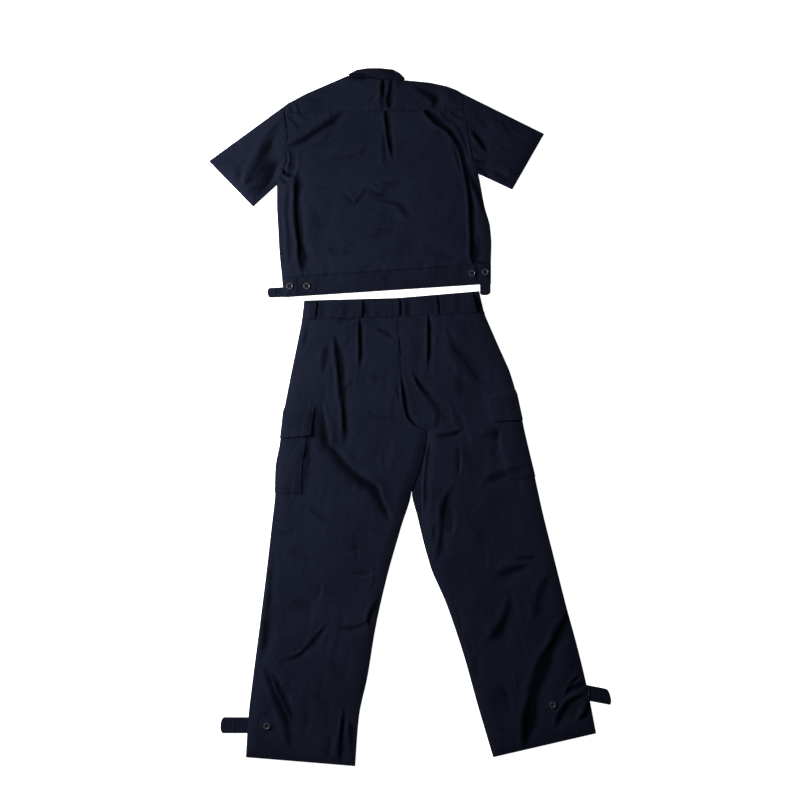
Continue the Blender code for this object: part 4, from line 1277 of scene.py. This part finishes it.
# %% [markdown]
# ## Cargo pockets and flaps
# A pocket starts on the back, goes round the outseam and ends on the front. It is a
# little fuller than the leg, so it stands away between its stitched edges, and the
# flap's lower edge lifts over its mouth.

# %% Fullness
POCKET_FULLNESS = 1.9
SIDE_ROLL, FOOT_ROLL = 16.0, 18.0    # the pocket's full height is reached this far in
FLAP_LIFT, MOUTH = 2.6, 12.0         # the flap's lower edge stands up, and from how far
ROUND_STEPS = 7


def pocket_fullness(leg, distance, s):
    """How far the pocket stands away from the leg inside its stitched edges."""
    side = rolled((POCKET_WIDTH - distance) / SIDE_ROLL)
    return POCKET_FULLNESS * side * rolled((leg.run(POCKET_BOTTOM) - leg.run(s)) / FOOT_ROLL)


# %% A piece round the outseam
def wrapped(leg, name, node, first, last, width, beneath, floor_of, extra):
    """A piece round the outseam, over the back and under the front."""
    length = float(leg.run(last) - leg.run(first))
    rows = np.linspace(leg.run(first), leg.run(last), counted(length, FINE_WEAVE))
    rows = rows_at(leg, rows)
    reach_in = np.linspace(width, 0, counted(width, FINE_WEAVE))
    ends = half(leg.table, leg.away, np.array([0.0, 1.0])[None], rows[:, None])
    across = np.linalg.norm(ends[:, 1] - ends[:, 0], axis=-1)
    s = np.repeat(rows[:, None], len(reach_in), 1)
    distance = np.repeat(reach_in[None], len(rows), 0)
    plan = half(leg.table, leg.away, distance / across[:, None], s)
    top, folds, edge = back_top(leg, plan, distance, s)
    reach = GAP + PLY * beneath(s[:, :1])
    z = top + reach + CLOTH + extra(distance, s)
    floor = floor_of(s[:, :1])
    turn = np.radians(np.linspace(90, -90, ROUND_STEPS))[None, 1:-1]
    middle, tall = (z[:, -1:] + floor) / 2, (z[:, -1:] - floor) / 2
    x = plan[:, -1:, 0] + leg.away * (reach + CLOTH) * np.cos(turn)
    y = np.repeat(plan[:, -1:, 1], turn.shape[1], 1)
    round_it = np.stack([x, y, middle + tall * np.sin(turn)], -1)
    below = with_height(plan[:, ::-1], floor)
    grid = np.concatenate([with_height(plan, z), round_it, below], 1)
    hidden = np.zeros((len(rows), grid.shape[1] - plan.shape[1]))
    rim = np.minimum(width - distance, np.minimum(leg.run(s) - leg.run(first),
                                                  leg.run(last) - leg.run(s)))
    # half the painted crease shade on pockets and flaps, and paler rims from wear and a painted
    # highlight
    return cloth(name, grid, node, finish=TRIM, grain=leg.grain,
                 flat=(2 * width + 6, length * 1.02), area=(2 * width + 4) * length,
                 painted_crease_shade=np.concatenate([0.5 * crease_shade_share(folds), hidden], 1),
                 wear_and_highlight=np.concatenate([wear_and_highlight_at(rim), hidden], 1))


# %% Pockets and their flaps
def make_pocket(leg):
    """The cargo pocket of one leg, whose front half lies over the flap's."""
    return wrapped(leg, f"cargo_pocket_{leg.side}_cloth", f"cargo_pocket_{leg.side}",
                   POCKET_TOP, POCKET_BOTTOM, POCKET_WIDTH, np.zeros_like,
                   lambda s: PLY * eased(leg.run(FLAP_BOTTOM) - leg.run(s)),
                   lambda distance, s: pocket_fullness(leg, distance, s))


def make_flap(leg):
    """The flap over the pocket's mouth."""
    def extra(distance, s):
        foot = np.exp(-((leg.run(FLAP_BOTTOM) - leg.run(s)) / MOUTH) ** 2)
        return pocket_fullness(leg, distance, s) + FLAP_LIFT * foot

    return wrapped(leg, f"pocket_flap_{leg.side}_cloth", f"pocket_flap_{leg.side}",
                   FLAP_TOP, FLAP_BOTTOM, FLAP_WIDTH,
                   lambda s: eased(leg.run(s) - leg.run(POCKET_TOP)), np.zeros_like, extra)


pockets = [make_pocket(leg) for leg in LEGS]
flaps = [make_flap(leg) for leg in LEGS]

# %% [markdown]
# ## Waistband and belt loops
# The waistband is doubled cloth, open at the front, with five loops that stand off it so
# that a belt goes through.

# %% Waistband
HALF_MEAN, HALF_WIDE, WAIST_DEEP = 208, 222, 46    # the halves' mean and greatest widths
FRONT_FOOT = 0.1       # the fronts start this share of the depth higher, one stagger
WAIST_FOOT = np.array(WAIST_LINE, float)
WAIST_CREASES = [
    Crease([(x - 1, y + 58), (x + 1, y + 26), (x, y - 6)], width, height)
    for x, y, width, height in ((-206, 226, 8, -1.2), (-150, 228, 9, -1.1), (-96, 230, 8, -1.2),
                                (-6, 232, 7, -1.4), (60, 236, 8, -1.2), (112, 240, 8, -1.1))
]


def waist_place(along, k):
    """Places on the waistband: along from 0 at the left side over 1 to 2 at the right."""
    along, k = np.broadcast_arrays(np.asarray(along, float), np.asarray(k, float))
    i = np.minimum(along.astype(int), 1)
    low = mix(WAIST_FOOT[i], WAIST_FOOT[i + 1], along - i)
    high = mix(WAIST_TOP[i], WAIST_TOP[i + 1], along - i)
    return mix(raised(low, GAP), high, k)


def waist_plan(first, last, cell, foot=0.0):
    """A grid over a stretch of the waistband."""
    along = np.linspace(first, last, counted(HALF_MEAN * (last - first), cell))
    return waist_place(*np.meshgrid(along, np.linspace(foot, 1, counted(WAIST_DEEP, cell))))


WAIST_SPLIT = 0.0008
for side_name, first, last in (("left", 0, 1 - WAIST_SPLIT), ("right", 1 + WAIST_SPLIT, 2)):
    plan = waist_plan(first, last, HIDDEN_WEAVE, FRONT_FOOT)
    plan[:, 0 if first > 0 else -1] -= (STAGGER, 0)
    cloth(f"waist_front_{side_name}", with_height(plan, BAND), f"waistband_front_{side_name}",
          thickness=BAND, finish=TRIM)
waist_back = upper_panel("waist_back", "waistband_back", waist_plan(0, 2, FINE_WEAVE),
                         lambda x, y, creases: trouser_upper(x, y, creases, 0.0), WAIST_CREASES,
                         under=BAND + GAP, thickness=BAND, finish=TRIM)


# %% Belt loops
def top_surface(pieces):
    """A lookup of the highest place on some pieces, in millimetres."""
    verts, faces = [], []
    for piece in pieces:
        start = len(verts)
        verts += [v.co.copy() for v in piece.data.vertices]
        faces += [[start + i for i in p.vertices] for p in piece.data.polygons]
    tree = BVHTree.FromPolygons(verts, faces)

    def height(x, y):
        hit = tree.ray_cast(Vector((x * MM, y * MM, 1.0)), Vector((0, 0, -1)))[0]
        return None if hit is None else hit.z / MM

    return height


LOOPS = [(0.10, 17.0), (0.60, 11.0), (0.99, 11.0), (1.45, 11.0), (1.88, 17.0)]
LOOP_THICKNESS, LOOP_BOW, LOOP_CROWN, LOOP_CUT = 1.2, 2.0, 0.35, 50.0
on_waist = top_surface([waist_back])
loops = []
for number, (along, width) in enumerate(LOOPS, 1):
    share = width / 2 / HALF_WIDE
    k = np.linspace(0.03, 0.97, 34)
    plan = waist_place(*np.meshgrid(along + np.linspace(-share, share, 9), k))
    level = np.array([max(on_waist(x, y) for x, y in line) for line in plan])
    bow = LOOP_BOW * smooth(np.minimum(k, 1 - k) / 0.3)
    crown = LOOP_CROWN * (1 - np.linspace(-1, 1, 9) ** 2)
    z = (level + GAP + bow)[:, None] + LOOP_THICKNESS + crown[None]
    loops.append(cloth(f"belt_loop_{number}_cloth", with_height(plan, z), f"belt_loop_{number}",
                       thickness=LOOP_THICKNESS, finish=TRIM, flat=(width, LOOP_CUT)))

# %% Hem straps
left_root = half(LEFT_BACK, -1, 0, np.linspace(13.40, 13.0, EDGE_STEPS)) - (TOUCH, 0)
right_root = half(RIGHT_BACK, 1, 0, np.linspace(13.18, 12.79, EDGE_STEPS)) + (TOUCH, 0)
strap("hem_strap_left", "hem_tab_left", left_root, (-64, 0),
      [Crease([(x, -764), (x + 1, -708)], 2.4, -2.2) for x in (-386, -393, -401, -410, -421)], 63)
strap("hem_strap_right", "hem_tab_right", right_root, (52.5, -10),
      [Crease([(x, -690), (x + 2, -618)], 2.4, -2.0) for x in (424, 431, 440)], 64)

# %% [markdown]
# ## Buttons
# A four-hole button is turned with a raised rim round a shallow dish. It starts as a
# cylinder, its upper face is inset and sunk in edit mode, its edges are bevelled, and
# four small cylinders drill the holes. Two threads cross in the dish. The rim is painted
# paler than the dish, a painted highlight where light catches it. The button is modelled
# once, and each copy with its own mesh goes where its CAD button lies.

# %% Button materials
def grained_material(name, dark, light, roughness, shine, scale, depth):
    """A plain finish whose colour and surface vary a little, on Object coordinates."""
    material, shader = plain_material(name, dark, roughness)
    shader.inputs["Specular IOR Level"].default_value = shine
    tree, link = material.node_tree, material.node_tree.links.new
    place = add_node(tree, "ShaderNodeTexCoord")
    speckle = add_node(tree, "ShaderNodeTexNoise", Scale=scale, Detail=3.0)
    link(place.outputs["Object"], speckle.inputs["Vector"])
    colour = add_node(tree, "ShaderNodeMixRGB", Color1=(*dark, 1), Color2=(*light, 1))
    link(speckle.outputs["Fac"], colour.inputs["Fac"])
    link(colour.outputs["Color"], shader.inputs["Base Color"])
    relief = add_node(tree, "ShaderNodeBump", Strength=0.4, Distance=depth)
    link(speckle.outputs["Fac"], relief.inputs["Height"])
    link(relief.outputs["Normal"], shader.inputs["Normal"])
    return material


BUTTON = grained_material("button_resin", (0.003, 0.004, 0.007), (0.007, 0.008, 0.012), 0.24,
                          0.3, 500.0, 0.00005)
# painted highlight: the rim gets a paler colour where light catches it
PAINTED_RIM_HIGHLIGHT = grained_material("button_rim_painted_highlight", (0.022, 0.023, 0.027), (0.040, 0.041, 0.046), 0.3,
                       0.4, 500.0, 0.00005)
THREAD = grained_material("navy_thread", (0.003, 0.004, 0.009), (0.006, 0.008, 0.016), 0.7,
                          0.06, 2500.0, 0.0001)


# %% One button
BUTTON_RADIUS, BUTTON_HEIGHT, RIM_WIDTH, DISH = 7.5, 2.6, 1.7, 0.9
DISH_WALL, FOOT_WIDTH, BUTTON_ROUND = 0.7, 1.2, 0.45
HOLE_RADIUS, HOLE_OFFSET = 0.9, 1.9
THREAD_RADIUS = 0.42
RIM_INSIDE = BUTTON_RADIUS - RIM_WIDTH - DISH_WALL


def select_faces(obj, test):
    """In edit mode, select only the faces that pass a test of centre and normal."""
    bm = bmesh.from_edit_mesh(obj.data)
    bm.select_mode = {"FACE"}
    for face in bm.faces:
        face.select_set(bool(test(face.calc_center_median(), face.normal)))
    bm.select_flush_mode()
    bmesh.update_edit_mesh(obj.data)


def start(name, add, **sizes):
    """Add a primitive with everything else deselected."""
    bpy.ops.object.select_all(action="DESELECT")
    add(**sizes)
    obj = bpy.context.object
    obj.name = obj.data.name = name
    return obj


def model_button():
    """The pattern button, standing on the origin."""
    disc = start("button_pattern", bpy.ops.mesh.primitive_cylinder_add, vertices=48,
                 radius=BUTTON_RADIUS * MM, depth=BUTTON_HEIGHT * MM,
                 location=(0, 0, BUTTON_HEIGHT / 2 * MM))
    bpy.ops.object.transform_apply(location=True, rotation=True, scale=True)
    bpy.ops.object.mode_set(mode="EDIT")
    select_faces(disc, lambda centre, normal: normal.z > 0.9)
    bpy.ops.mesh.inset(thickness=RIM_WIDTH * MM)
    bpy.ops.mesh.inset(thickness=DISH_WALL * MM)
    bpy.ops.transform.translate(value=(0, 0, -DISH * MM))
    select_faces(disc, lambda centre, normal: normal.z < -0.9)
    bpy.ops.mesh.inset(thickness=FOOT_WIDTH * MM)
    bpy.ops.object.mode_set(mode="OBJECT")
    soften = disc.modifiers.new("Soften", "BEVEL")
    soften.width = BUTTON_ROUND * MM
    soften.segments = 3
    soften.limit_method = "ANGLE"
    soften.angle_limit = math.radians(35)
    apply_all(disc)
    for i in range(4):
        angle = math.radians(45 + 90 * i)
        drill = start("drill", bpy.ops.mesh.primitive_cylinder_add, vertices=16,
                      radius=HOLE_RADIUS * MM, depth=3 * BUTTON_HEIGHT * MM,
                      location=(HOLE_OFFSET * MM * math.cos(angle),
                                HOLE_OFFSET * MM * math.sin(angle), 0))
        cut = disc.modifiers.new("Hole", "BOOLEAN")
        cut.operation = "DIFFERENCE"
        cut.object = drill
        apply_all(disc)
        bpy.data.objects.remove(drill)
    disc.data.materials.append(BUTTON)
    disc.data.materials.append(PAINTED_RIM_HIGHLIGHT)
    # the rim's upper faces get the painted highlight material
    for face in disc.data.polygons:
        middle = face.center / MM
        if middle.z > BUTTON_HEIGHT - 0.5 and math.hypot(middle.x, middle.y) > RIM_INSIDE:
            face.material_index = 1
    return disc


def model_thread():
    """The two threads that cross in the dish and go down through the holes."""
    bars = []
    level = BUTTON_HEIGHT - DISH + 0.35
    for angle in (45, 135):
        bar = start("thread", bpy.ops.mesh.primitive_cylinder_add, vertices=8,
                    radius=THREAD_RADIUS * MM, depth=2 * HOLE_OFFSET * MM, location=(0, 0, 0),
                    rotation=(0, math.radians(90), 0))
        bpy.ops.object.transform_apply(location=True, rotation=True, scale=True)
        bpy.ops.object.mode_set(mode="EDIT")
        for way in (1, -1):
            select_faces(bar, lambda centre, normal: normal.x * way > 0.9)
            bpy.ops.mesh.extrude_region_move(TRANSFORM_OT_translate={
                "value": (way * 0.25 * MM, 0, -0.5 * MM)})
            bpy.ops.mesh.extrude_region_move(TRANSFORM_OT_translate={
                "value": (0, 0, -0.8 * MM)})
        bpy.ops.object.mode_set(mode="OBJECT")
        bar.rotation_euler = (0, 0, math.radians(angle))
        bar.location = (0, 0, level * MM)
        bpy.ops.object.transform_apply(location=True, rotation=True, scale=True)
        bar.data.materials.append(THREAD)
        bars.append(bar)
    return bars


pattern = model_button()
bars = model_thread()
bpy.ops.object.select_all(action="DESELECT")
for obj in bars + [pattern]:
    obj.select_set(True)
bpy.context.view_layer.objects.active = pattern
bpy.ops.object.join()
pattern.data.shade_smooth()
bpy.ops.object.shade_smooth_by_angle(angle=math.radians(40))
print("button", len(pattern.data.polygons), "faces")

# %% Place the buttons
BUTTONS = [f"shirt_button_{i}" for i in range(1, 5)] + ["hem_button_left", "hem_button_right"]
buttons = []
for i, node in enumerate(BUTTONS):
    low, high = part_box(node)
    button = new_object(f"{node}_resin", pattern.data.copy())
    button.location = ((low.x + high.x) / 2, (low.y + high.y) / 2, low.z)
    button.rotation_euler = (0, 0, math.radians(20 * i))
    bpy.ops.object.select_all(action="DESELECT")
    button.select_set(True)
    bpy.context.view_layer.objects.active = button
    bpy.ops.object.transform_apply(location=True, rotation=True, scale=True)
    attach(button, "root")
    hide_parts(node)
    buttons.append(button)
bpy.data.objects.remove(pattern)
print(len(buttons), "buttons")

# %% [markdown]
# ## Topstitching
# The seams are stitched down with navy thread, about three and a half stitches to the
# centimetre. One stitch is a short spindle with a few faces. The rows of stitches are
# lines beside the seams, and every stitch is laid on the cloth below it and turned along
# its row. All the stitches of a garment are one joined mesh.

# %% Stitches
PITCH, STITCH_LENGTH, STITCH_WIDTH = 3.0, 2.3, 0.55
TWIN = (0.0, 6.0)      # the two rows of a double seam


def beside(line, off):
    """A line moved off to its left."""
    line = np.asarray(line, float)
    ahead = np.gradient(line, axis=0)
    ahead /= np.linalg.norm(ahead, axis=-1, keepdims=True)
    return line + off * np.stack([-ahead[:, 1], ahead[:, 0]], -1)


def stitch_template():
    """The places and faces of one stitch along X."""
    half_long, half_wide = STITCH_LENGTH / 2, STITCH_WIDTH / 2
    places = [(-half_long, 0, -0.12)]
    for x in (-0.6 * half_long, 0.6 * half_long):
        places += [(x, -half_wide, 0.0), (x, 0, -0.2), (x, half_wide, 0.0), (x, 0, 0.32)]
    places.append((half_long, 0, -0.12))
    faces = [(0, 1 + (i + 1) % 4, 1 + i) for i in range(4)]
    faces += [(1 + i, 1 + (i + 1) % 4, 5 + (i + 1) % 4, 5 + i) for i in range(4)]
    faces += [(9, 5 + i, 5 + (i + 1) % 4) for i in range(4)]
    return np.array(places), faces


def sew(name, lines, pieces):
    """Lay rows of stitches on some pieces, as one joined mesh."""
    height = top_surface(pieces)
    template, template_faces = stitch_template()
    verts, faces = [], []
    for line in lines:
        line = np.asarray(line, float)
        run = np.concatenate([[0], np.cumsum(np.linalg.norm(np.diff(line, axis=0), axis=1))])
        for at in np.arange(PITCH / 2, run[-1] - PITCH / 2, PITCH):
            ends = [[np.interp(at + off, run, line[:, i]) for i in (0, 1)] for off in (-1.0, 1.0)]
            levels = [height(*end) for end in ends]
            if None in levels:
                continue
            a, b = (Vector((*end, level)) for end, level in zip(ends, levels))
            ahead = (b - a).normalized()
            side = Vector((0, 0, 1)).cross(ahead).normalized()
            up = ahead.cross(side)
            middle = (a + b) / 2
            faces += [tuple(len(verts) + i for i in face) for face in template_faces]
            verts += [(middle + ahead * x + side * y + up * z) * MM for x, y, z in template]
    mesh = bpy.data.meshes.new(name)
    mesh.from_pydata(verts, [], faces)
    mesh.materials.append(THREAD)
    mesh.shade_smooth()
    obj = new_object(name, mesh)
    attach(obj, "root")
    print(f"{name}: {len(verts) // len(template)} stitches")


# %% Stitching of the blouse
SEAM_ROW = 1.8         # from a seam to its first row of stitches
TURNED_UP = 22.0       # the depth of the cuffs' and the trousers' hems
across = np.linspace(0.004, 0.996, 60)
armhole_rows = np.linspace(UNDERARM, SHOULDER, 30)
blouse_lines = [beside(body(across, YOKE_SEAM), SEAM_ROW + off) for off in TWIN]
blouse_lines += [beside(body(across, row), off) for row, off in ((BAND_TOP, -2.0), (HEM, 2.2))]
for side, way in ((0, -1), (1, 1)):
    blouse_lines += [beside(body(side, armhole_rows), way * (SEAM_ROW + off)) for off in TWIN]
for cuff, way in ((LEFT_CUFF, -1), (RIGHT_CUFF, 1)):
    blouse_lines.append(beside(np.linspace(cuff[0], cuff[1], 20), way * TURNED_UP))
collar_rows = np.linspace(COLLAR_START + 0.006, COLLAR_END - 0.006, 40)
blouse_lines.append(collar_places(collar_rows, 0.72))
sew("blouse_stitching", blouse_lines,
    [blouse_back, yoke, sleeve_left, sleeve_right, collar, band_back])

# %% Stitching of the trousers
OUTSEAM_ROW, INSEAM_ROW, EDGE_ROW, LOOP_ROW = 3.0, 3.0, 2.0, 1.6     # in from each edge
POCKET_LEG = 300.0     # the width of a leg where its pocket is
fine_rows = np.linspace(WAIST + 0.05, LEG_HEM - 0.05, 160)
trouser_lines = [beside(CENTRE_BACK, SEAM_ROW + off) for off in TWIN]
trouser_lines += [waist_place(np.linspace(0.01, 1.99, 90), share) for share in (0.06, 0.94)]


def leg_line(leg, share, rows):
    """A line on a leg's back, at a share of the way from its outseam."""
    return half(leg.table, leg.away, share, rows)


def leg_width(leg, rows):
    """The width of a leg's back at some rows."""
    return np.linalg.norm(leg_line(leg, 1, rows) - leg_line(leg, 0, rows), axis=-1)


def pocket_stitches(leg, first, last, width):
    """Two rows round the side and the foot of a pocket or a flap, and along a flap's top."""
    lines = []
    for inset in (EDGE_ROW + off for off in TWIN):
        rows = rows_at(leg, np.linspace(leg.run(first) + inset, leg.run(last) - inset, 40))
        side = (width - inset) / POCKET_LEG
        inward = np.linspace(0.01, side, 20)
        lines += [leg_line(leg, side, rows), leg_line(leg, inward, rows[-1])]
        if first == FLAP_TOP:
            lines.append(leg_line(leg, inward, rows[0]))
    return lines


for leg in LEGS:
    wide = leg_width(leg, fine_rows)
    for off in TWIN:
        for stretch in (fine_rows < FLAP_TOP, fine_rows > POCKET_BOTTOM):
            share = (OUTSEAM_ROW + off) / wide
            trouser_lines.append(leg_line(leg, share[stretch], fine_rows[stretch]))
    inner = fine_rows[fine_rows > CROTCH]
    trouser_lines.append(leg_line(leg, 1 - INSEAM_ROW / leg_width(leg, inner), inner))
    hem_row = LEG_HEM - TURNED_UP / (leg.run(LEG_HEM) - leg.run(LEG_HEM - 1))
    trouser_lines.append(leg_line(leg, np.linspace(0.01, 0.99, 60), hem_row))
    trouser_lines += pocket_stitches(leg, FLAP_TOP, FLAP_BOTTOM, FLAP_WIDTH)
    trouser_lines += pocket_stitches(leg, POCKET_TOP, POCKET_BOTTOM, POCKET_WIDTH)
for along, width in LOOPS:
    share = (width / 2 - LOOP_ROW) / HALF_WIDE
    trouser_lines += [waist_place(along + side, np.linspace(0.05, 0.95, 12))
                      for side in (-share, share)]
trouser_pieces = [piece for pair in leg_pieces for piece in pair]
sew("trouser_stitching", trouser_lines, trouser_pieces + pockets + flaps + [waist_back] + loops)

# %% [markdown]
# ## What each sheet was cut from
# The size of each sheet's flat cut and its area are worked out in metres, no narrower
# than the least width and no larger in area than the cut. The whole set lies on the table.

ROUNDING = 0.001
for obj, (width, length), area in LAID:
    width, length = max(width, LEAST_WIDTH) * MM, length * MM
    area = min(area * MM * MM, width * length)
    width, length = width + ROUNDING, length + ROUNDING
print(len(LAID), "sheets")
